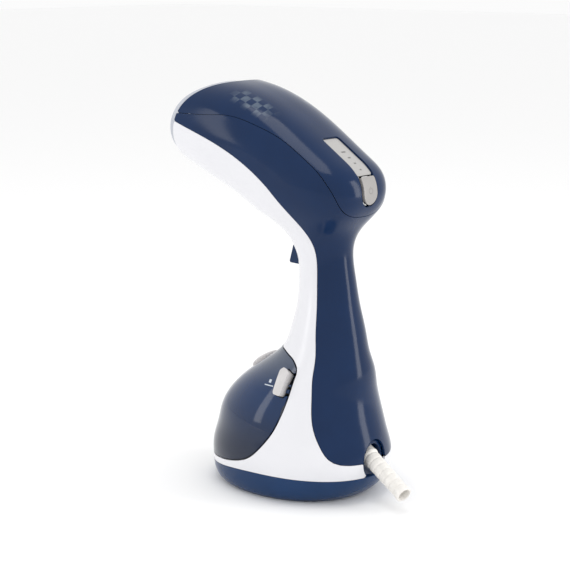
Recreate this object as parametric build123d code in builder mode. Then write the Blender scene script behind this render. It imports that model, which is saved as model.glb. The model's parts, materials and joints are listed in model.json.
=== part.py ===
"""Handheld garment steamer, standing on its base, in millimetres.

Frame: +Z up, -Y is the front (steam plate, trigger and water tank), +Y is the back (control
panel and cord outlet), and the steamer is symmetric about X = 0. The origin is the centre of
the base, on the surface that it stands on.
"""
import os
from math import atan2, copysign, cos, pi, sin

from build123d import *

# ---------------------------------------------------------------- driving dimensions
WALL = 2.2              # thickness of the moulded shells
PART_GAP = 0.3          # gap between a moving piece and the shell round it
SECTION_POINTS = 12     # points round each cross-section of the body

# The body is a run of oval sections. Each one stands across the body from a front (or under)
# point to a rear (or top) point in the side view: y, z, y, z, half width, squareness.
STATIONS = [
    (-57, 0.5, 50, 0.5, 45, 2.1),
    (-64, 3, 57, 3, 50, 2.1),
    (-69, 9, 65, 9, 54, 2.1),
    (-70, 18, 71, 18, 56, 2.1),
    (-69.5, 30, 73, 30, 57.5, 2.1),
    (-66.5, 45, 70.5, 45, 55.5, 2),
    (-62, 60, 66, 60, 53, 2),
    (-45.5, 80, 62, 80, 45.5, 2),
    (-24.5, 95, 61, 95, 37.5, 2),
    (-6, 110, 57.5, 110, 28.5, 2),
    (1, 125, 54.5, 125, 25, 2),
    (6, 145, 50, 145, 20.5, 2),
    (7, 165, 46.5, 165, 18, 2),
    (5, 182, 44, 187, 18, 2),
    (-2, 197, 50, 204.5, 24, 2.2),
    (-14, 209.5, 64, 226, 34, 2.9),
    (-22, 214, 62, 241, 38, 3),
    (-34, 220.5, 47, 255, 40, 2.9),
    (-59, 232.5, -8, 289, 45, 2.7),
    (-75, 239, -42, 302.5, 46, 2.6),
    (-91, 245.5, -70, 307.5, 46, 2.5),
    (-109, 252.5, -98, 311, 45, 2.5),
]
ELBOW = 14              # the section where the handle meets the head

# Parting lines in the side view, as (y, z) points.
HANDLE_PARTING = [
    (-99, 283), (-77, 275.5), (-47, 265.5), (-25, 255.5), (-2, 239.5), (15, 223), (27, 204.5),
    (31, 183), (33, 158), (37.5, 116), (41, 88), (45, 62), (52, 45), (61, 34), (80, 31),
]
COVER_PARTING = [
    (-99, 284), (-75, 284), (-54, 284), (-34, 284), (-11, 278), (8, 270), (34, 254), (47, 244.5),
    (55, 234), (58, 222), (60, 213), (75, 208),
]
BASE_PARTING = [(-85, 12.5), (-50, 15.5), (-16, 20), (0, 21.2), (40, 21.2), (85, 20)]
TANK_REAR = [
    (27.5, 97), (25.3, 78), (19.3, 56), (11.4, 43.6), (0.5, 33), (-12, 28), (-43, 22.5), (-85, 18),
]
TANK_TOP = [(-85, 109), (7, 109), (21, 104.4)]
DOCK_GAP = 1.0          # seal thickness between the tank and its dock
DOCK_WALL = 2.0
HALF_SPAN = 70          # half length of the side view prisms
REACH = 160             # how far the side view prisms go past the body

# Steam plate: a shallow arc in the side view.
PLATE_TOP = (-66, 306.5)
PLATE_FRONT = (-90, 277)
PLATE_BOTTOM = (-86, 243)
RIM_DEPTH = 4.5
RIM_WIDTH = 5.0
PLATE_THICKNESS = 2.5
PLATE_SUNK = 0.8        # how far the plate lies behind its rim
STEAM_HOLE_R = 1.5
STEAM_HOLE_PITCH = 9.0
# Each row of steam holes: height above the head's axis, number of holes.
STEAM_HOLE_ROWS = [(-18, 4), (-9, 7), (0, 8), (9, 7), (18, 4)]

# Boiler block behind the steam plate.
HEAD_RISE = 20 * pi / 180       # how steeply the head rises towards the front
HEAD_AXIS = (-cos(HEAD_RISE), sin(HEAD_RISE))
BOILER_CENTRE = (-59, 269.5)
ELEMENT_R = 3.3

# Pump and hoses.
PUMP_Y = 42.0
PUMP_Z = 72.0
HOSE_R = 3.0
HOSE_BORE_R = 1.8

# Sole and base fasteners.
SOLE_THICKNESS = 1.5
SOLE_CENTRE_Y = -3
SOLE_HALF_X = 30
SOLE_HALF_Y = 36
# Each base screw: x, y, height of its seat in the base cover, top of its shank.
BASE_SCREWS = [(-34, 20, 12, 33), (34, 20, 12, 33), (-28, -34, 6, 21.5), (28, -34, 6, 21.5)]
POST_R = 4.5
SCREW_R = 1.5
SCREW_HEAD_R = 3.0
SCREW_HEAD_HEIGHT = 2.0

# Control panel and power button, on the back of the top cover.
PANEL_TOP = (27.5, 267.5)
PANEL_BOTTOM = (57.5, 246)
PANEL_WIDTH = 17.5
PANEL_DEPTH = 1.2
BUTTON_CENTRE = (63.0, 233.5)
BUTTON_TILT = 8         # degrees that the button's face leans back from vertical
BUTTON_WIDTH = 15.0
BUTTON_HEIGHT = 18.5
BUTTON_PROUD = 0.5
RING_WIDTH = 1.2
RING_PROUD = 0.7
BUTTON_STEM_R = 2.5
LIGHT_R = 1.0
LIGHT_PLACES = [(0, -9), (0, -3), (0, 3), (0, 9)]

# Trigger.
TRIGGER_PIVOT = (10.5, 189.0)
TRIGGER_HALF_WIDTH = 6.5
TRIGGER_PIN_R = 1.5

TRIGGER_PIN_HALF = 9.5
TRIGGER_HUB_R = 3.2
TRIGGER_OUTLINE = [
    (3.8, 189.6), (-1.6, 186.8), (-5.2, 174.4), (-4.4, 173.0), (9.5, 172.6), (12.2, 184), (13.6, 188.5),
]
TRIGGER_SLOT_LOW = 171.0
TRIGGER_SLOT_HIGH = 190.4
EAR_R = 3.4
EAR_THICKNESS = 2.0

# Water tank.
TANK_WALL = 2.6
CAP_CENTRE = (-31.5, 88.5)
CAP_TILT = 35 * pi / 180        # the cap leans forward by this from upright
CAP_AXIS = (-sin(CAP_TILT), cos(CAP_TILT))
CAP_BASE = 2.0                  # height of the cap's underside over the tank's surface
CAP_R = 12.5
CAP_HEIGHT = 5.5
CAP_SKIRT = 2.5
CAP_DOME_TAPER = 50
CAP_STEM = 7.0
NECK_R = 9.0
NECK_DEPTH = 9.0
LATCH_OUTLINE = [(20.5, 98), (25.2, 96), (22.2, 79.5), (16.2, 80.5), (17.8, 96)]
PORT_Z = 50.0           # height of the water connection between tank and dock
PORT_R = 3.9
VALVE_BOSS_R = 7.0
LATCH_SPRING_R = 1.8
CAP_FLUTES = 28

# Cord outlet.
BOOT_ROOT = (68.1, 33.8)
BOOT_DROP = 25.5 * pi / 180     # the boot points backwards, this much below the horizontal
BOOT_YAW = 13 * pi / 180        # and this much to the left
BOOT_LENGTH = 46.0
BOOT_R = 6.6
BOOT_END_R = 6.3
BORE_R = 4.6
CUP_R = 9.8
BOOT_RIBS = 6
CUP_DEPTH = 7.0

os.makedirs("parts", exist_ok=True)


# ---------------------------------------------------------------- helpers
def station_plane(front_y, front_z, rear_y, rear_z):
    """Plane across the body, x along +X and y from the front point to the rear point."""
    angle = atan2(rear_z - front_z, rear_y - front_y)
    centre = (0, (front_y + rear_y) / 2, (front_z + rear_z) / 2)
    return Plane(origin=centre, x_dir=(1, 0, 0), z_dir=(0, -sin(angle), cos(angle)))


def oval(half_x, half_y, squareness):
    """Points of a superellipse: |x/a|^n + |y/b|^n = 1."""
    points = []
    for step in range(SECTION_POINTS):
        angle = 2 * pi * step / SECTION_POINTS
        c = cos(angle)
        s = sin(angle)
        x = half_x * copysign(abs(s) ** (2 / squareness), s)
        y = half_y * copysign(abs(c) ** (2 / squareness), c)
        points.append((x, y))
    return points


def body_solid(inset, first=0):
    """The whole body as one solid, drawn in by `inset` all round, from section `first` on."""
    with BuildPart() as body:
        for stations in (STATIONS[first:ELBOW + 1], STATIONS[ELBOW:]):
            for front_y, front_z, rear_y, rear_z, half_width, squareness in stations:
                half_depth = ((rear_y - front_y) ** 2 + (rear_z - front_z) ** 2) ** 0.5 / 2
                outline = oval(half_width - inset, half_depth - inset, squareness)
                with BuildSketch(station_plane(front_y, front_z, rear_y, rear_z)):
                    with BuildLine():
                        Spline(*outline, periodic=True)
                    make_face()
            loft()
    return body.part


def shifted(points, distance):
    """The same curve of (y, z) points, moved to the left of the way it runs."""
    moved = []
    for index, (y, z) in enumerate(points):
        before = points[max(index - 1, 0)]
        after = points[min(index + 1, len(points) - 1)]
        angle = atan2(after[1] - before[1], after[0] - before[0]) + pi / 2
        moved.append((y + distance * cos(angle), z + distance * sin(angle)))
    return moved


def side_prism(curve_points, corners):
    """Prism along X of the side view area between a curve and some outer corners."""
    with BuildPart() as prism:
        with BuildSketch(Plane.YZ):
            with BuildLine():
                Spline(*curve_points)
                Polyline(curve_points[-1], *corners, curve_points[0])
            make_face()
        extrude(amount=HALF_SPAN, both=True)
    return prism.part


def tank_prism(grow):
    """Prism along X of the side view area of the tank, grown by `grow`."""
    front, middle, rear = TANK_TOP
    top = [(front[0], front[1] + grow), (middle[0], middle[1] + grow),
           (rear[0] + grow * 0.6, rear[1] + grow * 0.9)]
    return side_prism(shifted(TANK_REAR, grow), top)


def plate_prism(depth):
    """Everything in front of the steam plate's arc, moved back into the head by `depth`."""
    with BuildLine():
        arc = ThreePointArc(PLATE_TOP, PLATE_FRONT, PLATE_BOTTOM)
    centre = arc.arc_center
    with BuildPart() as prism:
        with BuildSketch(Plane.YZ):
            with Locations((centre.X - 60, centre.Y)):
                Rectangle(120, 150)
            with Locations((centre.X, centre.Y)):
                Circle(arc.radius - depth, mode=Mode.SUBTRACT)
            with Locations((centre.X + 30, centre.Y)):
                Rectangle(60, 150, mode=Mode.SUBTRACT)
        extrude(amount=HALF_SPAN, both=True)
    return prism.part


def axis_plane(y, z, direction_y, direction_z, x=0.0):
    """Plane at a point of the side view whose normal is the given direction."""
    return Plane(origin=(x, y, z), x_dir=(1, 0, 0), z_dir=(0, direction_y, direction_z))


def coil_spring(plane, radius, length, turns, wire_r):
    """Helical compression spring standing on a plane."""
    height = length - 2 * wire_r
    with BuildPart() as spring:
        with BuildLine():
            path = Helix(pitch=height / turns, height=height, radius=radius)
        with BuildSketch(Plane(origin=path @ 0, z_dir=path % 0)):
            Circle(wire_r)
        sweep(path=path, is_frenet=True)
    return plane.location * spring.part


def hose(points, radii, outer_r, inner_r):
    """Hose along straight runs joined by arcs."""
    with BuildPart() as tube:
        with BuildLine():
            path = FilletPolyline(*points, radius=radii)
        with BuildSketch(Plane(origin=path @ 0, z_dir=path % 0)):
            Circle(outer_r)
            if inner_r:
                Circle(inner_r, mode=Mode.SUBTRACT)
        sweep(path=path)
    return tube.part


def save(part, name):
    """Label a finished piece and write its STEP file."""
    part.label = name
    export_step(part, f"parts/{name}.step")


# ---------------------------------------------------------------- shared solids
outer_body = body_solid(0)
inner_body = body_solid(WALL, first=1)

top_area = side_prism(COVER_PARTING, [(REACH, 208), (REACH, 340), (-REACH, 340), (-REACH, 284)])
back_area = side_prism(HANDLE_PARTING, [(REACH, 31), (REACH, 340), (-REACH, 340), (-REACH, 283)])
base_area = side_prism(BASE_PARTING, [(85, -10), (-85, -10)])
tank_area = tank_prism(0)
seal_area = tank_prism(DOCK_GAP)
dock_area = tank_prism(DOCK_GAP + DOCK_WALL)
front_cut = plate_prism(RIM_DEPTH + PART_GAP)

boot_way = Vector(cos(BOOT_DROP) * sin(BOOT_YAW), cos(BOOT_DROP) * cos(BOOT_YAW), -sin(BOOT_DROP))
boot_across = Vector(cos(BOOT_YAW), -sin(BOOT_YAW), 0)


def boot_plane(distance):
    """Plane across the cord's axis, `distance` out from the boot's root."""
    origin = Vector(0, *BOOT_ROOT) + boot_way * distance
    return Plane(origin=origin, x_dir=boot_across, z_dir=boot_way)


def boot_cylinder(radius, start, end):
    """Cylinder on the cord's axis."""
    with BuildPart() as cylinder:
        with BuildSketch(boot_plane(start)):
            Circle(radius)
        extrude(amount=end - start)
    return cylinder.part


# ---------------------------------------------------------------- casings
cup_outside = boot_cylinder(CUP_R + WALL, -CUP_DEPTH - WALL, 30)
cup_inside = boot_cylinder(CUP_R, -CUP_DEPTH, 30)
cup_hole = boot_cylinder(BOOT_R + PART_GAP, -CUP_DEPTH - 2 * WALL, 30)
cup_clear = boot_cylinder(CUP_R + WALL, -30, 30)

with BuildPart() as inner_structure:
    add(dock_area)
    for x, y, seat_z, top_z in BASE_SCREWS:
        with BuildSketch(Plane.XY.offset(seat_z)):
            with Locations((x, y)):
                Circle(POST_R)
            if y > 0:
                with Locations((x + copysign(15, x), y)):
                    Rectangle(30, 2.4)
        extrude(amount=top_z + 3 - seat_z)
    add(body_solid(WALL / 2), mode=Mode.INTERSECT)
    add(base_area, mode=Mode.SUBTRACT)
    add(back_area, mode=Mode.SUBTRACT)

with BuildPart() as front_shell:
    add(outer_body)
    add(inner_body, mode=Mode.SUBTRACT)
    add(base_area, mode=Mode.SUBTRACT)
    add(back_area, mode=Mode.SUBTRACT)
    add(front_cut, mode=Mode.SUBTRACT)
    add(inner_structure.part)
    # ears that hold the trigger's pin
    for side in (-1, 1):
        with BuildSketch(Plane.YZ.offset(side * (TRIGGER_HALF_WIDTH + 1.6))):
            with Locations(TRIGGER_PIVOT):
                Circle(EAR_R)
            with Locations((TRIGGER_PIVOT[0] - 3.2, TRIGGER_PIVOT[1])):
                Rectangle(6.4, 2 * EAR_R)
        extrude(amount=EAR_THICKNESS / 2, both=True)
    add(seal_area, mode=Mode.SUBTRACT)
    for x, y, seat_z, top_z in BASE_SCREWS:
        with BuildSketch(Plane.XY.offset(seat_z)):
            with Locations((x, y)):
                Circle(SCREW_R)
        extrude(amount=top_z + 0.3 - seat_z, mode=Mode.SUBTRACT)
    with BuildSketch(Plane.XZ):
        with Locations((0, PORT_Z)):
            Circle(PORT_R + 0.4)
    extrude(amount=-60, mode=Mode.SUBTRACT)
    with BuildSketch(Plane.YZ):
        with Locations((3, (TRIGGER_SLOT_LOW + TRIGGER_SLOT_HIGH) / 2)):
            Rectangle(22, TRIGGER_SLOT_HIGH - TRIGGER_SLOT_LOW)
    extrude(amount=TRIGGER_HALF_WIDTH + PART_GAP, both=True, mode=Mode.SUBTRACT)
    with BuildSketch(Plane.YZ):
        with Locations(TRIGGER_PIVOT):
            Circle(TRIGGER_PIN_R)
    extrude(amount=TRIGGER_PIN_HALF, both=True, mode=Mode.SUBTRACT)
    add(cup_clear, mode=Mode.SUBTRACT)
save(front_shell.part, "front_shell")

with BuildPart() as rear_shell:
    add(outer_body)
    add(inner_body, mode=Mode.SUBTRACT)
    add(back_area, mode=Mode.INTERSECT)
    add(top_area, mode=Mode.SUBTRACT)
    add(front_cut, mode=Mode.SUBTRACT)
    add(cup_outside, mode=Mode.SUBTRACT)
save(rear_shell.part, "rear_shell")

with BuildPart() as cord_socket:
    add(cup_outside)
    add(cup_inside, mode=Mode.SUBTRACT)
    add(cup_hole, mode=Mode.SUBTRACT)
    add(outer_body, mode=Mode.INTERSECT)
    add(base_area, mode=Mode.SUBTRACT)
save(cord_socket.part, "cord_socket")

with BuildPart() as base_cover:
    add(outer_body)
    add(inner_body, mode=Mode.SUBTRACT)
    for x, y, seat_z, top_z in BASE_SCREWS:
        with BuildSketch(Plane.XY.offset(1)):
            with Locations((x, y)):
                Circle(POST_R)
        extrude(amount=seat_z + 12)
    add(base_area, mode=Mode.INTERSECT)
    with BuildSketch(Plane.XY):
        with Locations((0, SOLE_CENTRE_Y)):
            Ellipse(SOLE_HALF_X, SOLE_HALF_Y)
    extrude(amount=SOLE_THICKNESS, mode=Mode.SUBTRACT)
    for x, y, seat_z, top_z in BASE_SCREWS:
        with BuildSketch(Plane.XY):
            with Locations((x, y)):
                Circle(SCREW_HEAD_R + 0.2)
        extrude(amount=seat_z, mode=Mode.SUBTRACT)
        with BuildSketch(Plane.XY):
            with Locations((x, y)):
                Circle(SCREW_R + 0.1)
        extrude(amount=30, mode=Mode.SUBTRACT)
save(base_cover.part, "base_cover")

with BuildPart() as sole:
    with BuildSketch(Plane.XY):
        with Locations((0, SOLE_CENTRE_Y)):
            Ellipse(SOLE_HALF_X, SOLE_HALF_Y)
    extrude(amount=SOLE_THICKNESS)
save(sole.part, "rubber_sole")

with BuildPart() as base_screws:
    for x, y, seat_z, top_z in BASE_SCREWS:
        with BuildSketch(Plane.XY.offset(seat_z - SCREW_HEAD_HEIGHT)):
            with Locations((x, y)):
                Circle(SCREW_HEAD_R)
        extrude(amount=SCREW_HEAD_HEIGHT)
        with BuildSketch(Plane.XY.offset(seat_z)):
            with Locations((x, y)):
                Circle(SCREW_R)
        extrude(amount=top_z - seat_z)
        with BuildSketch(Plane.XY.offset(seat_z - SCREW_HEAD_HEIGHT)):
            with Locations((x, y)):
                Rectangle(3.6, 0.8)
                Rectangle(0.8, 3.6)
        extrude(amount=1.0, mode=Mode.SUBTRACT)
save(base_screws.part, "base_screws")


# ---------------------------------------------------------------- panel and button
panel_y = (PANEL_TOP[0] + PANEL_BOTTOM[0]) / 2
panel_z = (PANEL_TOP[1] + PANEL_BOTTOM[1]) / 2
panel_angle = atan2(PANEL_BOTTOM[1] - PANEL_TOP[1], PANEL_BOTTOM[0] - PANEL_TOP[0])
panel_length = (PANEL_BOTTOM[0] - PANEL_TOP[0]) / cos(panel_angle)
panel_normal = (-sin(panel_angle), cos(panel_angle))
button_normal = (cos(BUTTON_TILT * pi / 180), sin(BUTTON_TILT * pi / 180))


def panel_plane(depth):
    """Plane of the panel, moved out of the head by `depth`."""
    return axis_plane(
        panel_y + depth * panel_normal[0], panel_z + depth * panel_normal[1], *panel_normal
    )


def button_plane(depth):
    """Plane of the button's face, moved out of the head by `depth`."""
    y = BUTTON_CENTRE[0] + depth * button_normal[0]
    z = BUTTON_CENTRE[1] + depth * button_normal[1]
    return axis_plane(y, z, *button_normal)


def button_prism(grow, start, end):
    """Prism of the button's outline: square at the top and round at the bottom."""
    radius = BUTTON_WIDTH / 2 + grow
    arc_y = BUTTON_HEIGHT / 2 - BUTTON_WIDTH / 2
    top = -BUTTON_HEIGHT / 2 - grow
    with BuildPart() as prism:
        with BuildSketch(button_plane(start)):
            with Locations((0, arc_y)):
                Circle(radius)
            with Locations((0, (arc_y + top) / 2)):
                Rectangle(2 * radius, arc_y - top)
        extrude(amount=end - start)
    return prism.part


def panel_prism(grow):
    """Prism of the panel's outline through the cover."""
    with BuildPart() as prism:
        with BuildSketch(panel_plane(-12)):
            RectangleRounded(PANEL_WIDTH + 2 * grow, panel_length + 2 * grow, 2)
        extrude(amount=24)
    return prism.part


under_panel = body_solid(PANEL_DEPTH)

with BuildPart() as control_panel:
    add(panel_prism(0))
    add(outer_body, mode=Mode.INTERSECT)
    add(under_panel, mode=Mode.SUBTRACT)
save(control_panel.part, "control_panel")

with BuildPart() as button_ring:
    add(button_prism(PART_GAP + RING_WIDTH, -1.5, 6))
    add(button_prism(PART_GAP, -6, 6), mode=Mode.SUBTRACT)
    add(body_solid(-RING_PROUD), mode=Mode.INTERSECT)
save(button_ring.part, "button_ring")

with BuildPart() as power_button:
    add(button_prism(0, -4, 6))
    add(body_solid(-BUTTON_PROUD), mode=Mode.INTERSECT)
    with BuildSketch(button_plane(-8)):
        Circle(BUTTON_STEM_R)
    extrude(amount=4.5)
save(power_button.part, "power_button")

with BuildPart() as panel_recess:
    add(panel_prism(0.1))
    add(outer_body, mode=Mode.INTERSECT)
    add(under_panel, mode=Mode.SUBTRACT)

with BuildPart() as top_cover:
    add(outer_body)
    add(inner_body, mode=Mode.SUBTRACT)
    add(top_area, mode=Mode.INTERSECT)
    add(front_cut, mode=Mode.SUBTRACT)
    add(panel_recess.part, mode=Mode.SUBTRACT)
    add(button_prism(PART_GAP, -6, 8), mode=Mode.SUBTRACT)
    add(button_prism(PART_GAP + RING_WIDTH, -1.5, 8), mode=Mode.SUBTRACT)
    with BuildSketch(panel_plane(-12)):
        with Locations(*LIGHT_PLACES):
            Circle(LIGHT_R + 0.1)
    extrude(amount=20, mode=Mode.SUBTRACT)
save(top_cover.part, "top_cover")

with BuildPart() as light_guides:
    with BuildSketch(panel_plane(-7)):
        with Locations(*LIGHT_PLACES):
            Circle(LIGHT_R)
    extrude(amount=7 - PANEL_DEPTH - 1.2)
save(light_guides.part, "light_guides")

with BuildPart() as control_board:
    with BuildSketch(panel_plane(-9)):
        Rectangle(20, 30)
    extrude(amount=1.6)
save(control_board.part, "control_board")

with BuildPart() as button_board:
    with BuildSketch(button_plane(-12.6)):
        Rectangle(18, 16)
    extrude(amount=1.6)
save(button_board.part, "button_board")

with BuildPart() as tact_switch:
    with BuildSketch(button_plane(-11)):
        Rectangle(4, 4)
    extrude(amount=1.6)
save(tact_switch.part, "tact_switch")

save(coil_spring(button_plane(-10.5), 3.6, 5.0, 4, 0.3), "button_spring")


# ---------------------------------------------------------------- trigger
with BuildPart() as trigger:
    with BuildSketch(Plane.YZ):
        with BuildLine():
            Polyline(*TRIGGER_OUTLINE, close=True)
        make_face()
        with Locations(TRIGGER_PIVOT):
            Circle(TRIGGER_HUB_R)
    extrude(amount=TRIGGER_HALF_WIDTH, both=True)
    with BuildSketch(Plane.YZ):
        with Locations(TRIGGER_PIVOT):
            Circle(TRIGGER_PIN_R + 0.05)
    extrude(amount=TRIGGER_PIN_HALF, both=True, mode=Mode.SUBTRACT)
save(trigger.part, "trigger")

with BuildPart() as trigger_pin:
    with BuildSketch(Plane.YZ):
        with Locations(TRIGGER_PIVOT):
            Circle(TRIGGER_PIN_R)
    extrude(amount=TRIGGER_PIN_HALF, both=True)
save(trigger_pin.part, "trigger_pin")

with BuildPart() as microswitch:
    with BuildSketch(Plane.XY.offset(171)):
        with Locations((0, 24)):
            Rectangle(9, 9)
    extrude(amount=15)
    with BuildSketch(Plane.XZ.offset(-17)):
        with Locations((0, 175)):
            Circle(1.2)
    extrude(amount=-3)
save(microswitch.part, "microswitch")

save(coil_spring(axis_plane(14.4, 181.5, 1, 0), 2.2, 4.6, 3, 0.3), "trigger_spring")


# ---------------------------------------------------------------- water tank
def cap_plane(height):
    """Plane across the fill cap's axis, `height` above the tank's surface."""
    return axis_plane(CAP_CENTRE[0] + height * CAP_AXIS[0], CAP_CENTRE[1] + height * CAP_AXIS[1], *CAP_AXIS)


def latch_prism(grow, start, end):
    """Prism of the latch button's outline from one x to another."""
    with BuildPart() as prism:
        with BuildSketch(Plane.YZ.offset(start)):
            with BuildLine():
                Polyline(*LATCH_OUTLINE, close=True)
            make_face()
            if grow:
                offset(amount=grow, kind=Kind.INTERSECTION)
        extrude(amount=end - start)
    return prism.part


tank_solid = tank_prism(-PART_GAP)

with BuildPart() as water_space:
    add(body_solid(WALL + 1))
    add(tank_prism(-PART_GAP - TANK_WALL), mode=Mode.INTERSECT)
    for side in (-1, 1):
        with BuildSketch(Plane.XY.offset(76)):
            with Locations((side * 42, 20)):
                Rectangle(40, 16)
        extrude(amount=30, mode=Mode.SUBTRACT)

with BuildPart() as water_tank:
    add(outer_body)
    add(tank_solid, mode=Mode.INTERSECT)
    add(water_space.part, mode=Mode.SUBTRACT)
    with BuildSketch(cap_plane(-NECK_DEPTH)):
        Circle(CAP_R - 0.5)
    extrude(amount=NECK_DEPTH + CAP_BASE - PART_GAP)
    with BuildSketch(cap_plane(-NECK_DEPTH - 8)):
        Circle(NECK_R)
    extrude(amount=NECK_DEPTH + 12, mode=Mode.SUBTRACT)
    with BuildSketch(Plane.XZ.offset(4)):
        with Locations((0, PORT_Z)):
            Circle(VALVE_BOSS_R)
    extrude(amount=-16)
    with BuildSketch(Plane.XZ.offset(0)):
        with Locations((0, PORT_Z)):
            Circle(PORT_R + 0.4)
    extrude(amount=-30, mode=Mode.SUBTRACT)
    with BuildSketch(Plane.XZ.offset(5)):
        with Locations((0, PORT_Z)):
            Circle(2.2)
    extrude(amount=-8, mode=Mode.SUBTRACT)
    for side in (-1, 1):
        add(latch_prism(PART_GAP, side * 24, side * 60), mode=Mode.SUBTRACT)
save(water_tank.part, "water_tank")

proud_body = body_solid(-1.2)
for name, side in (("latch_left", 1), ("latch_right", -1)):
    with BuildPart() as latch:
        add(latch_prism(0, side * 27, side * 60))
        add(proud_body, mode=Mode.INTERSECT)
        with BuildSketch(Plane.YZ.offset(side * 26)):
            with Locations((20, 89)):
                Circle(LATCH_SPRING_R + 0.8)
        extrude(amount=side * 7, mode=Mode.SUBTRACT)
    save(latch.part, name)
    spring_plane = Plane(origin=(side * 24.6, 20, 89), x_dir=(0, 1, 0), z_dir=(side, 0, 0))
    save(coil_spring(spring_plane, LATCH_SPRING_R, 5.4, 4, 0.25), name + "_spring")

with BuildPart() as tank_seal:
    add(outer_body)
    add(inner_body, mode=Mode.SUBTRACT)
    add(seal_area, mode=Mode.INTERSECT)
    add(tank_area, mode=Mode.SUBTRACT)
    add(base_area, mode=Mode.SUBTRACT)
save(tank_seal.part, "tank_seal")

with BuildPart() as fill_cap:
    with BuildSketch(cap_plane(CAP_BASE)):
        Circle(CAP_R)
    extrude(amount=CAP_SKIRT)
    with BuildSketch(cap_plane(CAP_BASE + CAP_SKIRT)):
        Circle(CAP_R - 0.8)
    extrude(amount=CAP_HEIGHT - CAP_SKIRT, taper=CAP_DOME_TAPER)
    with BuildSketch(cap_plane(CAP_BASE - CAP_STEM)):
        Circle(NECK_R - 0.4)
    extrude(amount=CAP_STEM)
    with BuildSketch(cap_plane(CAP_BASE - CAP_STEM + 2)):
        Circle(NECK_R)
        Circle(NECK_R - 1.6, mode=Mode.SUBTRACT)
    extrude(amount=1.6, mode=Mode.SUBTRACT)
    with BuildSketch(cap_plane(CAP_BASE)):
        with PolarLocations(CAP_R + 0.2, CAP_FLUTES):
            Circle(0.6)
    extrude(amount=CAP_SKIRT, mode=Mode.SUBTRACT)
save(fill_cap.part, "fill_cap")

with BuildPart() as fill_cap_seal:
    with BuildSketch(cap_plane(CAP_BASE - CAP_STEM + 2.1)):
        Circle(NECK_R - 0.05)
        Circle(NECK_R - 1.55, mode=Mode.SUBTRACT)
    extrude(amount=1.4)
save(fill_cap_seal.part, "fill_cap_seal")

with BuildPart() as tank_valve:
    with BuildSketch(Plane.XZ.offset(-5.2)):
        with Locations((0, PORT_Z)):
            Circle(PORT_R)
    extrude(amount=-2)
    with BuildSketch(Plane.XZ.offset(-3.6)):
        with Locations((0, PORT_Z)):
            Circle(1.2)
    extrude(amount=-2)
save(tank_valve.part, "tank_valve")

save(coil_spring(axis_plane(0.5, PORT_Z, 1, 0), 3.0, 2.6, 2, 0.25), "tank_valve_spring")

with BuildPart() as docking_port:
    with BuildSketch(Plane.XZ.offset(-9.5)):
        with Locations((0, PORT_Z)):
            Circle(PORT_R)
    extrude(amount=-17)
    with BuildSketch(Plane.XZ.offset(-25)):
        with Locations((0, PORT_Z)):
            Circle(8)
    extrude(amount=-2.5)
    with BuildSketch(Plane.XZ.offset(-9)):
        with Locations((0, PORT_Z)):
            Circle(2)
    extrude(amount=-20, mode=Mode.SUBTRACT)
save(docking_port.part, "docking_port")

with BuildPart() as docking_seal:
    with BuildSketch(Plane.XZ.offset(-11)):
        with Locations((0, PORT_Z)):
            Circle(PORT_R + 0.3)
            Circle(PORT_R, mode=Mode.SUBTRACT)
    extrude(amount=-1.5)
save(docking_seal.part, "docking_seal")

suction_points = [(0, -4, PORT_Z), (0, -14, PORT_Z), (0, -22, 40)]
save(hose(suction_points, [6], 2.5, 1.5), "suction_hose")

with BuildPart() as suction_filter:
    with BuildSketch(axis_plane(-22, 40, -0.625, -0.781)):
        Circle(3.6)
    extrude(amount=8)
    chamfer(suction_filter.edges(), 0.5)
save(suction_filter.part, "suction_filter")


# ---------------------------------------------------------------- pump and hoses
def x_cylinder(y, z, start, end, radius, bore=0.0):
    """Cylinder along X, with an optional bore."""
    with BuildPart() as cylinder:
        with BuildSketch(Plane.YZ.offset(start)):
            with Locations((y, z)):
                Circle(radius)
                if bore:
                    Circle(bore, mode=Mode.SUBTRACT)
        extrude(amount=end - start)
    return cylinder.part


with BuildPart() as pump_body:
    add(x_cylinder(PUMP_Y, PUMP_Z, -16, 16, 6))
    add(x_cylinder(PUMP_Y, PUMP_Z, -20, 20, 3))
save(pump_body.part, "pump_body")

save(x_cylinder(PUMP_Y, PUMP_Z, -10, 10, 11, 6), "pump_coil")

with BuildPart() as pump_bracket:
    for start in (-11.5, 10):
        with BuildSketch(Plane.YZ.offset(start)):
            with Locations((PUMP_Y, PUMP_Z)):
                Rectangle(22, 22)
                Circle(6, mode=Mode.SUBTRACT)
        extrude(amount=1.5)
    with BuildSketch(Plane.XY.offset(PUMP_Z - 12.5)):
        with Locations((0, PUMP_Y)):
            Rectangle(23, 22)
    extrude(amount=1.5)
save(pump_bracket.part, "pump_bracket")

with BuildPart() as pump_mounts:
    add(x_cylinder(PUMP_Y, PUMP_Z, -15.5, -12, 9, 6))
    add(x_cylinder(PUMP_Y, PUMP_Z, 12, 15.5, 9, 6))
save(pump_mounts.part, "pump_mounts")

inlet_points = [(-20, PUMP_Y, PUMP_Z), (-28, PUMP_Y, PUMP_Z), (-28, PUMP_Y, PORT_Z),
                (0, PUMP_Y, PORT_Z), (0, 27.5, PORT_Z)]
save(hose(inlet_points, [5, 6, 6], HOSE_R, HOSE_BORE_R), "inlet_hose")

outlet_points = [(20, PUMP_Y, PUMP_Z), (27, PUMP_Y, PUMP_Z), (27, PUMP_Y, 82), (9.5, 35, 104),
                 (9.5, 35, 118)]
save(hose(outlet_points, [4, 7, 7], HOSE_R, HOSE_BORE_R), "pump_hose")

with BuildPart() as check_valve:
    with BuildSketch(Plane.XY.offset(118)):
        with Locations((9.5, 35)):
            Circle(4)
    extrude(amount=14)
    with BuildSketch(Plane.XY.offset(117)):
        with Locations((9.5, 35)):
            Circle(1.2)
    extrude(amount=20, mode=Mode.SUBTRACT)
save(check_valve.part, "check_valve")

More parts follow.
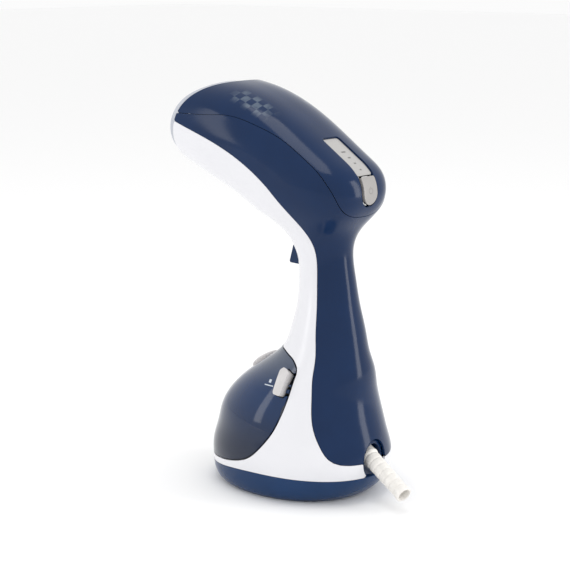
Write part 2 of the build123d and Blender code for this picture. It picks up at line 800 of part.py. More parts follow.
boiler_points = [(9.5, 35, 132.5), (9.5, 31, 165), (9.5, 27, 190), (9.5, 10, 222), (9.5, -20, 250),
                 (9.5, -38, 260)]
save(hose(boiler_points, [60, 40, 25, 25], HOSE_R, HOSE_BORE_R), "boiler_hose")

loom_points = [(-9.5, 40, 112), (-9.5, 34, 135), (-9.5, 31, 165), (-9.5, 27, 190), (-9.5, 10, 222),
               (-9.5, -20, 250), (-9.5, -38, 260)]
save(hose(loom_points, [40, 60, 40, 25, 25], 2.6, 0), "wire_loom")

with BuildPart() as terminal_block:
    with BuildSketch(Plane.XY.offset(92)):
        with Locations((-6, 45)):
            Rectangle(20, 9)
    extrude(amount=13)
    with BuildSketch(Plane.XY.offset(92)):
        with Locations((-12, 45), (-6, 45), (0, 45)):
            Circle(1.6)
    extrude(amount=13, mode=Mode.SUBTRACT)
save(terminal_block.part, "terminal_block")


# ---------------------------------------------------------------- steam head
def boiler_plane(depth, up=0.0):
    """Plane across the head's axis, `depth` in front of the boiler's middle."""
    y = BOILER_CENTRE[0] + depth * HEAD_AXIS[0] + up * HEAD_AXIS[1]
    z = BOILER_CENTRE[1] + depth * HEAD_AXIS[1] - up * HEAD_AXIS[0]
    return axis_plane(y, z, *HEAD_AXIS)


plate_face = plate_prism(0)

with BuildPart() as plate_rim:
    add(outer_body)
    add(body_solid(RIM_WIDTH), mode=Mode.SUBTRACT)
    add(plate_prism(RIM_DEPTH), mode=Mode.INTERSECT)
    add(plate_face, mode=Mode.SUBTRACT)
save(plate_rim.part, "plate_rim")

with BuildPart() as steam_plate:
    add(body_solid(RIM_WIDTH + 0.2))
    add(plate_prism(PLATE_SUNK + PLATE_THICKNESS), mode=Mode.INTERSECT)
    add(plate_prism(PLATE_SUNK), mode=Mode.SUBTRACT)
    for row, columns in STEAM_HOLE_ROWS:
        with BuildSketch(boiler_plane(0, row)):
            with GridLocations(STEAM_HOLE_PITCH, 1, columns, 1):
                Circle(STEAM_HOLE_R)
        extrude(amount=60, mode=Mode.SUBTRACT)
save(steam_plate.part, "steam_plate")

with BuildPart() as boiler:
    with BuildSketch(boiler_plane(-13)):
        RectangleRounded(56, 38, 8)
    extrude(amount=26)
    with BuildSketch(Plane.YZ):
        with Locations((BOILER_CENTRE[0], BOILER_CENTRE[1])):
            Circle(ELEMENT_R)
    extrude(amount=40, both=True, mode=Mode.SUBTRACT)
save(boiler.part, "boiler")

with BuildPart() as heater_element:
    with BuildSketch(Plane.YZ):
        with Locations((BOILER_CENTRE[0], BOILER_CENTRE[1])):
            Circle(ELEMENT_R)
    extrude(amount=33, both=True)
save(heater_element.part, "heater_element")

with BuildPart() as boiler_gasket:
    with BuildSketch(boiler_plane(13)):
        RectangleRounded(56, 38, 8)
        RectangleRounded(44, 26, 6, mode=Mode.SUBTRACT)
    extrude(amount=1)
save(boiler_gasket.part, "boiler_gasket")

with BuildPart() as boiler_cover:
    with BuildSketch(boiler_plane(14)):
        RectangleRounded(56, 38, 8)
        with GridLocations(12, 8, 3, 2):
            Circle(1.5, mode=Mode.SUBTRACT)
    extrude(amount=2.5)
save(boiler_cover.part, "boiler_cover")

with BuildPart() as boiler_screws:
    with BuildSketch(boiler_plane(16.5)):
        with GridLocations(48, 30, 2, 2):
            Circle(2.4)
    extrude(amount=1.6)
save(boiler_screws.part, "boiler_screws")

with BuildPart() as thermostat:
    with BuildSketch(boiler_plane(-19)):
        with Locations((-18, 4)):
            Circle(7.5)
    extrude(amount=6)
    with BuildSketch(boiler_plane(-25)):
        with Locations((-21, 4), (-15, 4)):
            Rectangle(1, 4)
    extrude(amount=6)
save(thermostat.part, "thermostat")

with BuildPart() as thermal_fuse:
    with BuildSketch(boiler_plane(-15.2, -12)):
        Rectangle(20, 3.6)
    extrude(amount=2.2)
save(thermal_fuse.part, "thermal_fuse")


# ---------------------------------------------------------------- cord outlet
with BuildPart() as cord_boot:
    with BuildSketch(boot_plane(-CUP_DEPTH - WALL - 2)):
        Circle(BOOT_R + 0.6)
    extrude(amount=2)
    with BuildSketch(boot_plane(-CUP_DEPTH - WALL)):
        Circle(BOOT_R)
    extrude(amount=CUP_DEPTH + WALL + 2)
    with BuildSketch(boot_plane(0)):
        Circle(BOOT_R - 0.9)
    with BuildSketch(boot_plane(BOOT_LENGTH)):
        Circle(BOOT_END_R - 0.5)
    loft()
    for rib in range(BOOT_RIBS):
        start = 3.0 + rib * (BOOT_LENGTH - 3.0) / BOOT_RIBS
        radius = BOOT_R + (BOOT_END_R - BOOT_R) * rib / (BOOT_RIBS - 1)
        with BuildSketch(boot_plane(start)):
            Circle(radius)
        extrude(amount=(BOOT_LENGTH - 3.0) / BOOT_RIBS - 1.6)
    with BuildSketch(boot_plane(-CUP_DEPTH - WALL - 3)):
        Circle(BORE_R)
    extrude(amount=BOOT_LENGTH + CUP_DEPTH + WALL + 5, mode=Mode.SUBTRACT)
save(cord_boot.part, "cord_boot")

CLAMP_START = -CUP_DEPTH - WALL - 2.3
with BuildPart() as cord_clamp:
    with BuildSketch(boot_plane(CLAMP_START)):
        Rectangle(26, 12)
        Circle(BORE_R + 0.4, mode=Mode.SUBTRACT)
        with Locations((-9.5, 0), (9.5, 0)):
            Circle(1.3, mode=Mode.SUBTRACT)
    extrude(amount=-6)
save(cord_clamp.part, "cord_clamp")

with BuildPart() as clamp_screws:
    with BuildSketch(boot_plane(CLAMP_START)):
        with Locations((-9.5, 0), (9.5, 0)):
            Circle(1.3)
    extrude(amount=-6)
    with BuildSketch(boot_plane(CLAMP_START - 6)):
        with Locations((-9.5, 0), (9.5, 0)):
            Circle(2.4)
    extrude(amount=-1.5)
save(clamp_screws.part, "clamp_screws")
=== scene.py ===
"""A handheld garment steamer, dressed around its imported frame.

Lengths inside the classes are in millimetres, Z up, steam plate towards -Y; meshes are made in metres.
"""

import json
import logging
import math
from dataclasses import dataclass, field
from enum import Enum
from typing import Callable, Sequence

import bmesh
import bpy
import numpy as np
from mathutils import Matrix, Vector

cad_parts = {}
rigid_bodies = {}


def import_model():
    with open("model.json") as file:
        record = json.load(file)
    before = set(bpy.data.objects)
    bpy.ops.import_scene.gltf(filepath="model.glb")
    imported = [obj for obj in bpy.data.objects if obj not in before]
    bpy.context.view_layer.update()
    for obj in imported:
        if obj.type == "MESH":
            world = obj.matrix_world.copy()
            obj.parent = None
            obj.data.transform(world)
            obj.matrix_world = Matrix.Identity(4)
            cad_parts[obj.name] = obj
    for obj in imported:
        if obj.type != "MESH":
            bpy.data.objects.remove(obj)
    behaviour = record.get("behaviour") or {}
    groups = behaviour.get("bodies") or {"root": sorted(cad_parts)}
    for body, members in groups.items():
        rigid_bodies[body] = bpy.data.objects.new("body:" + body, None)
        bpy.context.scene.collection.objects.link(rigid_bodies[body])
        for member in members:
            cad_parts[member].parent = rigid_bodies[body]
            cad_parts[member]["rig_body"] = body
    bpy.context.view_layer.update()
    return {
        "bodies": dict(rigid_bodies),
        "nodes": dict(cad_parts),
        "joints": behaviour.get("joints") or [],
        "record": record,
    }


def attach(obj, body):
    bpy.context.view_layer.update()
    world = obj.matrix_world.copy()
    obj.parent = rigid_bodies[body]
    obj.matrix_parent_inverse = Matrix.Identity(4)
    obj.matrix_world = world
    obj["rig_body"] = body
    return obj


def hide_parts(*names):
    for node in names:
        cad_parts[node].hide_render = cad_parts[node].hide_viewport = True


LOG = logging.getLogger("steamer")
MM = 0.001
Field = Callable[[np.ndarray], np.ndarray]
Colour = tuple[float, float, float]


class Side(Enum):
    """The two sides of the steamer."""

    LEFT = 1
    RIGHT = -1


# ---------------------------------------------------------------- shader graphs
class Sum:
    """A value socket in an expression: each operator adds the Math node that works it out."""

    def __init__(self, shader: "Shader", socket: bpy.types.NodeSocket) -> None:
        """Keeps the socket and the shader that new nodes go to."""
        self.shader = shader
        self.socket = socket

    def _with(self, operation: str, *others: "Sum | float", swap: bool = False) -> "Sum":
        """Adds a Math node.

        Args:
            operation: the Math node's operation.
            others: the other operands, sockets or numbers.
            swap: puts this socket last.

        Returns:
            The node's value.
        """
        terms = [*others, self] if swap else [self, *others]
        node = self.shader.node("ShaderNodeMath", {"operation": operation}, dict(enumerate(terms)))
        return Sum(self.shader, node.outputs[0])

    def __add__(self, other: "Sum | float") -> "Sum":
        """This plus other."""
        return self._with("ADD", other)

    __radd__ = __add__

    def __mul__(self, other: "Sum | float") -> "Sum":
        """This times other."""
        return self._with("MULTIPLY", other)

    __rmul__ = __mul__

    def __sub__(self, other: "Sum | float") -> "Sum":
        """This minus other."""
        return self._with("SUBTRACT", other)

    def __rsub__(self, other: float) -> "Sum":
        """Other minus this."""
        return self._with("SUBTRACT", other, swap=True)

    def __gt__(self, other: "Sum | float") -> "Sum":
        """1 where this is above other."""
        return self._with("GREATER_THAN", other)

    def __lt__(self, other: "Sum | float") -> "Sum":
        """1 where this is below other."""
        return self._with("LESS_THAN", other)

    def apart(self, centre: float) -> "Sum":
        """How far this is from a centre, never negative."""
        return (self - centre)._with("ABSOLUTE")

    def wave(self) -> "Sum":
        """The sine of this."""
        return self._with("SINE")

    def ramp(self, low: float, high: float) -> "Sum":
        """Runs smoothly from 0 at low to 1 at high."""
        node = self.shader.node(
            "ShaderNodeMapRange", {"interpolation_type": "SMOOTHSTEP"}, {0: self, 1: low, 2: high}
        )
        return Sum(self.shader, node.outputs[0])


class Shader:
    """One material under construction: a Principled surface and the nodes that feed it."""

    def __init__(self, name: str) -> None:
        """Starts an empty material of that name."""
        self.material = bpy.data.materials.new(name)
        self.material.use_nodes = True
        self.tree = self.material.node_tree
        self.tree.nodes.clear()
        self.surface = self.tree.nodes.new("ShaderNodeBsdfPrincipled")
        output = self.tree.nodes.new("ShaderNodeOutputMaterial")
        self.tree.links.new(self.surface.outputs[0], output.inputs["Surface"])

    def node(self, kind: str, settings: dict | None = None, inputs: dict | None = None) -> bpy.types.Node:
        """Adds any node.

        Args:
            kind: the node's type.
            settings: properties, set first.
            inputs: values or links of its sockets, by name or number.

        Returns:
            The new node.
        """
        made = self.tree.nodes.new(kind)
        for key, value in (settings or {}).items():
            setattr(made, key, value)
        for key, value in (inputs or {}).items():
            self.feed(made.inputs[key], value)
        return made

    def feed(self, socket: bpy.types.NodeSocket, value: object) -> None:
        """Links a Sum or a socket to a socket, or sets its plain value."""
        if isinstance(value, Sum):
            self.tree.links.new(value.socket, socket)
        elif isinstance(value, bpy.types.NodeSocket):
            self.tree.links.new(value, socket)
        elif isinstance(value, tuple) and len(value) == 3 and socket.type == "RGBA":
            socket.default_value = (*value, 1.0)
        else:
            socket.default_value = value

    def place(self) -> tuple[Sum, Sum, Sum]:
        """The object's own x, y and z in metres."""
        coordinates = self.node("ShaderNodeTexCoord")
        split = self.node("ShaderNodeSeparateXYZ", None, {0: coordinates.outputs["Object"]})
        return tuple(Sum(self, out) for out in split.outputs)

    def noise(self, scale: float, detail: float = 2.0) -> Sum:
        """A fixed noise in object space.

        Args:
            scale: cells per metre.
            detail: octaves.

        Returns:
            Its value, from 0 to 1 around 0.5.
        """
        coordinates = self.node("ShaderNodeTexCoord")
        made = self.node(
            "ShaderNodeTexNoise", None,
            {"Vector": coordinates.outputs["Object"], "Scale": scale, "Detail": detail},
        )
        return Sum(self, made.outputs[0])

    def mix(self, share: Sum, first: object, second: object) -> bpy.types.NodeSocket:
        """A colour between two colours, first at share 0 and second at share 1."""
        made = self.node("ShaderNodeMix", {"data_type": "RGBA"}, {0: share, 6: first, 7: second})
        return made.outputs[2]

    def set(self, **sockets: object) -> None:
        """Sets or links the surface's sockets; an underscore in a name is a space."""
        for name, value in sockets.items():
            self.feed(self.surface.inputs[name.replace("_", " ")], value)

    def bump(self, height: Sum, depth: float) -> None:
        """Raises the surface by height times depth, in metres."""
        made = self.node("ShaderNodeBump", None, {"Strength": 1.0, "Distance": depth, "Height": height})
        self.set(Normal=made.outputs[0])


# ---------------------------------------------------------------- finishes
@dataclass(frozen=True)
class GlossPlastic:
    """Injection-moulded plastic: faint clouding, a fine moulded skin and a clear gloss."""

    colour: Colour
    roughness: float = 0.16
    clouding: float = 0.06
    sheen: float = 0.5
    skin: float = 0.000004

    def shade(self, shader: Shader) -> None:
        """Sets up the plastic in a shader."""
        cloud = shader.noise(28, 3)
        grain = shader.noise(2600, 2)
        deep = tuple(c * (1 - self.clouding) for c in self.colour)
        shader.set(
            Base_Color=shader.mix(cloud.ramp(0.35, 0.65), self.colour, deep),
            Roughness=shader.noise(90, 2) * 0.06 + (self.roughness - 0.03),
            Specular_IOR_Level=self.sheen,
        )
        shader.bump(grain, self.skin)

    def material(self, name: str) -> bpy.types.Material:
        """The finish as a material of that name."""
        shader = Shader(name)
        self.shade(shader)
        return shader.material


@dataclass(frozen=True)
class CheckPrintedPlastic(GlossPlastic):
    """Gloss plastic with a soft checkered print along both shoulders of the head."""

    ink: Colour = (0.085, 0.115, 0.165)
    cell: float = 0.0062

    def material(self, name: str) -> bpy.types.Material:
        """The finish as a material of that name: squares laid along the head that fade at both ends."""
        shader = Shader(name)
        self.shade(shader)
        x, y, z = shader.place()
        along = y - z * 0.35
        across = x.apart(0.0)
        rate = math.pi / self.cell
        pattern = ((along * rate).wave() * (across * rate).wave()).ramp(-0.05, 0.05)
        band = (1.0 - across.apart(0.027).ramp(0.004, 0.010)) * (1.0 - along.apart(-0.126).ramp(0.008, 0.026))
        fade = band * pattern * (shader.noise(240, 1).ramp(0.3, 0.6) * 0.5 + 0.5)
        plain = shader.surface.inputs["Base Color"].links[0].from_socket
        shader.set(Base_Color=shader.mix(fade, plain, self.ink))
        return shader.material


@dataclass(frozen=True)
class TintedClear:
    """Tinted clear plastic of the water tank, with fill lines printed on both sides."""

    colour: Colour = (0.010, 0.034, 0.105)
    # painted shade: the darker colour painted over the tank's foot
    edge: Colour = (0.012, 0.018, 0.038)
    # painted light: the paler colour painted over the tank's top
    painted_top_light: Colour = (0.085, 0.105, 0.150)
    line: Colour = (0.55, 0.60, 0.66)
    line_height: float = 0.0865

    def material(self, name: str) -> bpy.types.Material:
        """The finish as a material of that name: painted shade darkening the foot, plain blue middle, painted
        light paling the top, pale fill lines.
        """
        shader = Shader(name)
        x, y, z = shader.place()
        # painted shade: the tint darkens towards the foot, reaching the edge colour below 30 mm
        depth = z.ramp(0.030, 0.085)
        body = shader.mix(depth * 0.9 + shader.noise(35, 2) * 0.1, self.edge, self.colour)
        # painted light: the tint pales towards the top, from 80 mm up to 108 mm
        body = shader.mix(z.ramp(0.080, 0.108), body, self.painted_top_light)
        thick = z.apart(self.line_height) < 0.00035
        span = (y.apart(0.0075) < 0.0045) * (x.apart(0.0) > 0.03)
        tick = (z.apart(self.line_height + 0.003) < 0.0011) * (y.apart(0.0075) < 0.0012)
        mark = thick * span + tick * (x.apart(0.0) > 0.03)
        shader.set(
            Base_Color=shader.mix(mark, body, self.line),
            Roughness=shader.noise(120, 2) * 0.05 + 0.07,
            Alpha=mark * 0.05 + (0.93 + 0.02 * depth),
            Coat_Weight=0.2, Coat_Roughness=0.05, Specular_IOR_Level=0.28,
        )
        shader.bump(shader.noise(1800, 2), 0.000003)
        return shader.material


@dataclass(frozen=True)
class Metal:
    """Metal with a fine directional grain across it."""

    colour: Colour
    roughness: float = 0.28
    grain_scale: float = 900.0
    grain_depth: float = 0.000006
    metallic: float = 1.0

    def material(self, name: str) -> bpy.types.Material:
        """The finish as a material of that name: noise stretched along x makes the grain."""
        shader = Shader(name)
        coordinates = shader.node("ShaderNodeTexCoord")
        stretched = shader.node(
            "ShaderNodeMapping", None, {"Vector": coordinates.outputs["Object"], "Scale": (0.04, 1.0, 1.0)}
        )
        noise = shader.node(
            "ShaderNodeTexNoise", None,
            {"Vector": stretched.outputs[0], "Scale": self.grain_scale, "Detail": 3.0},
        )
        grain = Sum(shader, noise.outputs[0])
        dull = tuple(c * 0.86 for c in self.colour)
        shader.set(
            Base_Color=shader.mix(grain.ramp(0.3, 0.7), dull, self.colour),
            Roughness=grain * 0.12 + (self.roughness - 0.06),
            Metallic=self.metallic,
        )
        shader.bump(grain, self.grain_depth)
        return shader.material


class PanelMark(Enum):
    """The marks printed on the silver pieces."""

    DASHES = "four short dashes down the middle of the panel"
    POWER = "an open circle with a bar on the button"

    def mask(self, x: Sum, y: Sum, z: Sum) -> Sum:
        """1 on the marks and 0 off them.

        Args:
            x, y, z: the place in metres, y not used; a dash is a small box in x and z, the circle a band of
                distances.

        Returns:
            The mask.
        """
        if self is PanelMark.DASHES:
            rows = ((0.2600, 0.0024), (0.2563, 0.0015), (0.2527, 0.0012), (0.2485, 0.0010))
            return sum((x.apart(0.0) < half) * (z.apart(middle) < 0.0004) for middle, half in rows)
        rise = z - 0.2338
        far = x * x + rise * rise
        circle = (far > 0.0000032) * (far < 0.0000058) * (1.0 - (x.apart(0.0) < 0.0008) * (rise > 0.0))
        bar = (x.apart(0.0) < 0.00032) * (rise.apart(0.0018) < 0.0012)
        return (circle + bar) * 0.55


@dataclass(frozen=True)
class SatinPaint:
    """Satin metallic paint: fine flake under a soft coat, with small marks printed on it."""

    colour: Colour = (0.44, 0.43, 0.42)
    marks: PanelMark = PanelMark.DASHES
    ink: Colour = (0.16, 0.155, 0.15)
    roughness: float = 0.34

    def material(self, name: str) -> bpy.types.Material:
        """The finish as a material of that name: flake noise lightens the paint and shifts its gloss."""
        shader = Shader(name)
        flake = shader.noise(5200, 1)
        bright = tuple(min(1.0, c * 1.15) for c in self.colour)
        paint = shader.mix(flake.ramp(0.4, 0.7), self.colour, bright)
        shader.set(
            Base_Color=shader.mix(self.marks.mask(*shader.place()), paint, self.ink),
            Roughness=flake * 0.1 + (self.roughness - 0.05),
            Metallic=0.2, Specular_IOR_Level=0.3,
        )
        shader.bump(shader.noise(3000, 2), 0.000003)
        return shader.material


@dataclass(frozen=True)
class Matt:
    """Matt plastic or rubber: open grain, no clear gloss."""

    colour: Colour
    roughness: float = 0.55
    grain: float = 0.00002

    def material(self, name: str) -> bpy.types.Material:
        """The finish as a material of that name."""
        shader = Shader(name)
        worn = tuple(min(1.0, c * 1.12 + 0.004) for c in self.colour)
        shader.set(
            Base_Color=shader.mix(shader.noise(160, 4).ramp(0.4, 0.75), self.colour, worn),
            Roughness=shader.noise(400, 2) * 0.14 + (self.roughness - 0.07),
        )
        shader.bump(shader.noise(1500, 3), self.grain)
        return shader.material


FINISHES: dict[str, object] = {
    "white_shell": GlossPlastic((0.78, 0.78, 0.81), 0.20, 0.02),
    "navy_shell": GlossPlastic((0.0045, 0.0215, 0.0740), 0.14, 0.10, 0.22),
    "printed_cover": CheckPrintedPlastic((0.0045, 0.0215, 0.0740), 0.14, 0.10, 0.22),
    "base_blue": GlossPlastic((0.0090, 0.0380, 0.1150), 0.18, 0.10, 0.22),
    "navy_trim": GlossPlastic((0.0060, 0.0260, 0.0800), 0.30, 0.10, 0.22),
    "rim_grey": GlossPlastic((0.50, 0.52, 0.57), 0.30, 0.04),
    "latch_grey": GlossPlastic((0.60, 0.58, 0.58), 0.28, 0.04),
    "tank_tint": TintedClear(),
    "silver_panel": SatinPaint(),
    "silver_button": SatinPaint((0.35, 0.335, 0.325), PanelMark.POWER),
    "chrome": Metal((0.90, 0.91, 0.92), 0.12, 500.0, 0.000001),
    "steel": Metal((0.60, 0.61, 0.62), 0.34),
    "spring_steel": Metal((0.45, 0.46, 0.48), 0.30),
    "steam_plate": Metal((0.72, 0.73, 0.75), 0.26, 1400.0, 0.000008),
    "cast_aluminium": Metal((0.52, 0.53, 0.55), 0.50, 260.0, 0.00003),
    "winding": Metal((0.42, 0.16, 0.06), 0.35, 2600.0, 0.00004),
    "dark_seal": Matt((0.018, 0.024, 0.040), 0.50),
    "rubber": Matt((0.035, 0.035, 0.037), 0.70, 0.00004),
    "silicone": Matt((0.68, 0.69, 0.67), 0.45, 0.00001),
    "dark_plastic": Matt((0.030, 0.031, 0.034), 0.50),
    "inner_white": Matt((0.74, 0.74, 0.72), 0.50),
    "wire": Matt((0.10, 0.10, 0.105), 0.50),
    "circuit_board": Matt((0.02, 0.16, 0.06), 0.40),
    "clear_light": GlossPlastic((0.75, 0.80, 0.86), 0.20, 0.02),
    "boot_white": Matt((0.80, 0.775, 0.735), 0.42, 0.00001),
}


class Wardrobe:
    """Makes each finish's material once and gives it to the pieces that wear it."""

    def __init__(self) -> None:
        """Starts with no materials made."""
        self.made: dict[str, bpy.types.Material] = {}

    def dress(self, piece: bpy.types.Object, finish: str) -> None:
        """Gives a piece one finish all over."""
        if finish not in self.made:
            self.made[finish] = FINISHES[finish].material(finish)
        piece.data.materials.clear()
        piece.data.materials.append(self.made[finish])


# ---------------------------------------------------------------- curves and fields in the side view
def through_points(points: Sequence[Sequence[float]], count: int) -> np.ndarray:
    """A natural cubic spline through points, sampled evenly.

    The knots are the summed chord lengths, and the second derivatives solve the usual three-term equations.

    Args:
        points: rows of any width.
        count: how many samples.

    Returns:
        The sampled rows.
    """
    rows = np.asarray(points, float)
    knots = np.concatenate([[0.0], np.cumsum(np.linalg.norm(np.diff(rows, axis=0), axis=1))])
    return spline(knots, rows, np.linspace(0, knots[-1], count))


def spline(knots: np.ndarray, rows: np.ndarray, where: np.ndarray) -> np.ndarray:
    """A natural cubic spline's rows at some parameters.

    Args:
        knots: rising parameters of the given rows.
        rows: the values there.
        where: the parameters asked for.

    Returns:
        One row for each parameter.
    """
    gap = np.diff(knots)
    size = len(knots)
    system = np.eye(size)
    right = np.zeros_like(rows)
    inner = np.arange(1, size - 1)
    system[inner, inner - 1] = gap[:-1]
    system[inner, inner] = 2 * (gap[:-1] + gap[1:])
    system[inner, inner + 1] = gap[1:]
    slope = np.diff(rows, axis=0) / gap[:, None]
    right[1:-1] = 6 * np.diff(slope, axis=0)
    bend = np.linalg.solve(system, right)
    index = np.clip(np.searchsorted(knots, where) - 1, 0, size - 2)
    h = gap[index][:, None]
    left = (where - knots[index])[:, None]
    rest = h - left
    return (
        (bend[index] * rest**3 + bend[index + 1] * left**3) / (6 * h)
        + (rows[index] / h - bend[index] * h / 6) * rest
        + (rows[index + 1] / h - bend[index + 1] * h / 6) * left
    )


@dataclass
class Parting:
    """A parting line of the side view, carried straight on at both ends."""

    points: Sequence[tuple[float, float]]
    closed: bool = False
    samples: int = 90
    line: np.ndarray = field(init=False)

    def __post_init__(self) -> None:
        """Samples the line and carries it on, or closes it."""
        if self.closed:
            corners = np.asarray(self.points, float)
            self.line = np.vstack([corners, corners[:1]])
            return
        line = through_points(self.points, self.samples)
        start = line[0] + (line[0] - line[1]) / np.linalg.norm(line[0] - line[1]) * 60
        end = line[-1] + (line[-1] - line[-2]) / np.linalg.norm(line[-1] - line[-2]) * 60
        self.line = np.vstack([start, line, end])

    def side(self, place: np.ndarray) -> np.ndarray:
        """Signed distance in the side view: the shortest to any segment, above 0 on the line's left.

        Args:
            place: rows of x, y, z.

        Returns:
            One distance for each row; inside a closed clockwise outline it is below 0 turned to above.
        """
        out = np.empty(len(place))
        a = self.line[:-1]
        step = self.line[1:] - a
        length = (step**2).sum(1)
        for chunk in np.array_split(np.arange(len(place)), max(1, len(place) // 20000)):
            q = place[chunk, 1:]
            apart = q[:, None, :] - a[None]
            share = np.clip((apart * step).sum(2) / length, 0, 1)
            off = apart - share[..., None] * step
            distance = (off**2).sum(2)
            best = distance.argmin(1)
            pick = (np.arange(len(q)), best)
            cross = step[best, 0] * apart[pick][:, 1] - step[best, 1] * apart[pick][:, 0]
            out[chunk] = np.sqrt(distance[pick]) * np.where(cross > 0, 1, -1)
        if self.closed:
            y, z = place[:, 1, None], place[:, 2, None]
            below, above = self.line[:-1], self.line[1:]
            spans = (below[:, 1] > z) != (above[:, 1] > z)
            rise = np.where(above[:, 1] == below[:, 1], 1e-9, above[:, 1] - below[:, 1])
            crossing = y < (above[:, 0] - below[:, 0]) * (z - below[:, 1]) / rise + below[:, 0]
            inside = (spans & crossing).sum(1) % 2 == 1
            out = np.abs(out) * np.where(inside, 1, -1)
        return out


def both(radius: float, *values: np.ndarray) -> np.ndarray:
    """Where all fields are above 0, with corners of one radius: the radius less the length of the shortfalls."""
    shortfall = np.sqrt(sum(np.maximum(radius - v, 0) ** 2 for v in values))
    least = np.minimum.reduce(values)
    return np.where(least > radius, least, radius - shortfall)


# ---------------------------------------------------------------- the body's one surface
@dataclass
class BodySurface:
    """The steamer's outer surface: superellipse sections, each between a front and a rear point."""

    stations: Sequence[tuple[float, ...]] = (
        (-57, 0.5, 50, 0.5, 45, 2.1), (-64, 3, 57, 3, 50, 2.1), (-69, 9, 65, 9, 54, 2.1),
        (-70, 18, 71, 18, 56, 2.1), (-69.5, 30, 73, 30, 57.5, 2.1), (-66.5, 45, 70.5, 45, 55.5, 2),
        (-62, 60, 66, 60, 53, 2), (-45.5, 80, 62, 80, 45.5, 2), (-24.5, 95, 61, 95, 37.5, 2),
        (-6, 110, 57.5, 110, 28.5, 2), (1, 125, 54.5, 125, 25, 2), (6, 145, 50, 145, 20.5, 2),
        (7, 165, 46.5, 165, 18, 2), (5, 182, 44, 187, 18, 2), (-2, 197, 50, 204.5, 24, 2.2),
        (-14, 209.5, 64, 226, 34, 2.9), (-22, 214, 62, 241, 38, 3), (-34, 220.5, 47, 255, 40, 2.9),
        (-59, 232.5, -8, 289, 45, 2.7), (-75, 239, -42, 302.5, 46, 2.6), (-91, 245.5, -70, 307.5, 46, 2.5),
        (-109, 252.5, -98, 311, 45, 2.5),
    )
    knots: np.ndarray = field(init=False)
    rows: np.ndarray = field(init=False)

    def __post_init__(self) -> None:
        """Works out the knots: the mean way that the front and the rear points move between stations."""
        self.rows = np.asarray(self.stations, float)
        front = np.linalg.norm(np.diff(self.rows[:, 0:2], axis=0), axis=1)
        rear = np.linalg.norm(np.diff(self.rows[:, 2:4], axis=0), axis=1)
        self.knots = np.concatenate([[0.0], np.cumsum((front + rear) / 2)])

    @property
    def length(self) -> float:
        """The last knot."""
        return float(self.knots[-1])

    def place(self, u: np.ndarray, v: np.ndarray) -> np.ndarray:
        """Points of the surface.

        A section's point at polar angle v is r times (half width sin v, half depth cos v), where r is
        (|cos v|^n + |sin v|^n)^(-1/n). Below u 0 the first section shrinks to its centre and closes the foot.

        Args:
            u: the way along the body, in millimetres.
            v: the angle round it, 0 at the rear.

        Returns:
            Rows of x, y, z.
        """
        row = spline(self.knots, self.rows, np.clip(u, 0, self.length))
        shrink = np.clip(1 + u / 10.0, 0, 1)
        front, rear, width, power = row[:, 0:2], row[:, 2:4], row[:, 4], row[:, 5]
        centre, half = (front + rear) / 2, (rear - front) / 2
        c, s = np.cos(v), np.sin(v)
        r = (np.abs(c) ** power + np.abs(s) ** power) ** (-1 / power) * shrink
        across = centre + half * (r * c)[:, None]
        return np.column_stack([width * r * s, across])

    def normal(self, u: np.ndarray, v: np.ndarray) -> np.ndarray:
        """Normals that point into the body: the cross product of the two ways along the surface."""
        du, dv = 0.4, 0.004
        after, before = np.clip(u + du, -9, self.length), np.clip(u - du, -9, self.length)
        along = self.place(after, v) - self.place(before, v)
        around = self.place(u, v + dv) - self.place(u, v - dv)
        cross = np.cross(around, along)
        return cross / np.maximum(np.linalg.norm(cross, axis=1), 1e-12)[:, None]

    def half_width(self, place: np.ndarray) -> np.ndarray:
        """Half the body's width at points of the side view.

        The section through each point is where the point crosses from one side of the front-to-rear lines
        to the other, and the half width there is w (1 - |s|^n)^(1/n) at the share s of the half depth.

        Args:
            place: rows of y, z.

        Returns:
            One half width for each row, 0 outside the body.
        """
        u = np.linspace(0, self.length, 500)
        row = spline(self.knots, self.rows, u)
        centre, half = (row[:, 0:2] + row[:, 2:4]) / 2, (row[:, 2:4] - row[:, 0:2]) / 2
        off = place[:, None, :] - centre[None]
        cross = half[:, 0] * off[..., 1] - half[:, 1] * off[..., 0]
        turn = (cross[:, :-1] > 0) & (cross[:, 1:] <= 0)
        best = turn.argmax(1)
        share = (off[np.arange(len(place)), best] * half[best]).sum(1) / (half[best] ** 2).sum(1)
        power = row[best, 5]
        width = row[best, 4] * np.maximum(1 - np.minimum(np.abs(share), 1) ** power, 0) ** (1 / power)
        return np.where(turn.any(1), width, 0)


CASES: dict[int, tuple[tuple[int, ...], ...]] = {
    1: ((0, 4, 7),), 2: ((1, 5, 4),), 3: ((0, 1, 5, 7),), 4: ((2, 6, 5),), 5: ((0, 4, 7), (2, 6, 5)),
    6: ((1, 2, 6, 4),), 7: ((0, 1, 2, 6, 7),), 8: ((3, 7, 6),), 9: ((0, 4, 6, 3),),
    10: ((1, 5, 4), (3, 7, 6)), 11: ((0, 1, 5, 6, 3),), 12: ((2, 3, 7, 5),), 13: ((0, 4, 5, 2, 3),),
    14: ((1, 2, 3, 7, 4),), 15: ((0, 1, 2, 3),),
}


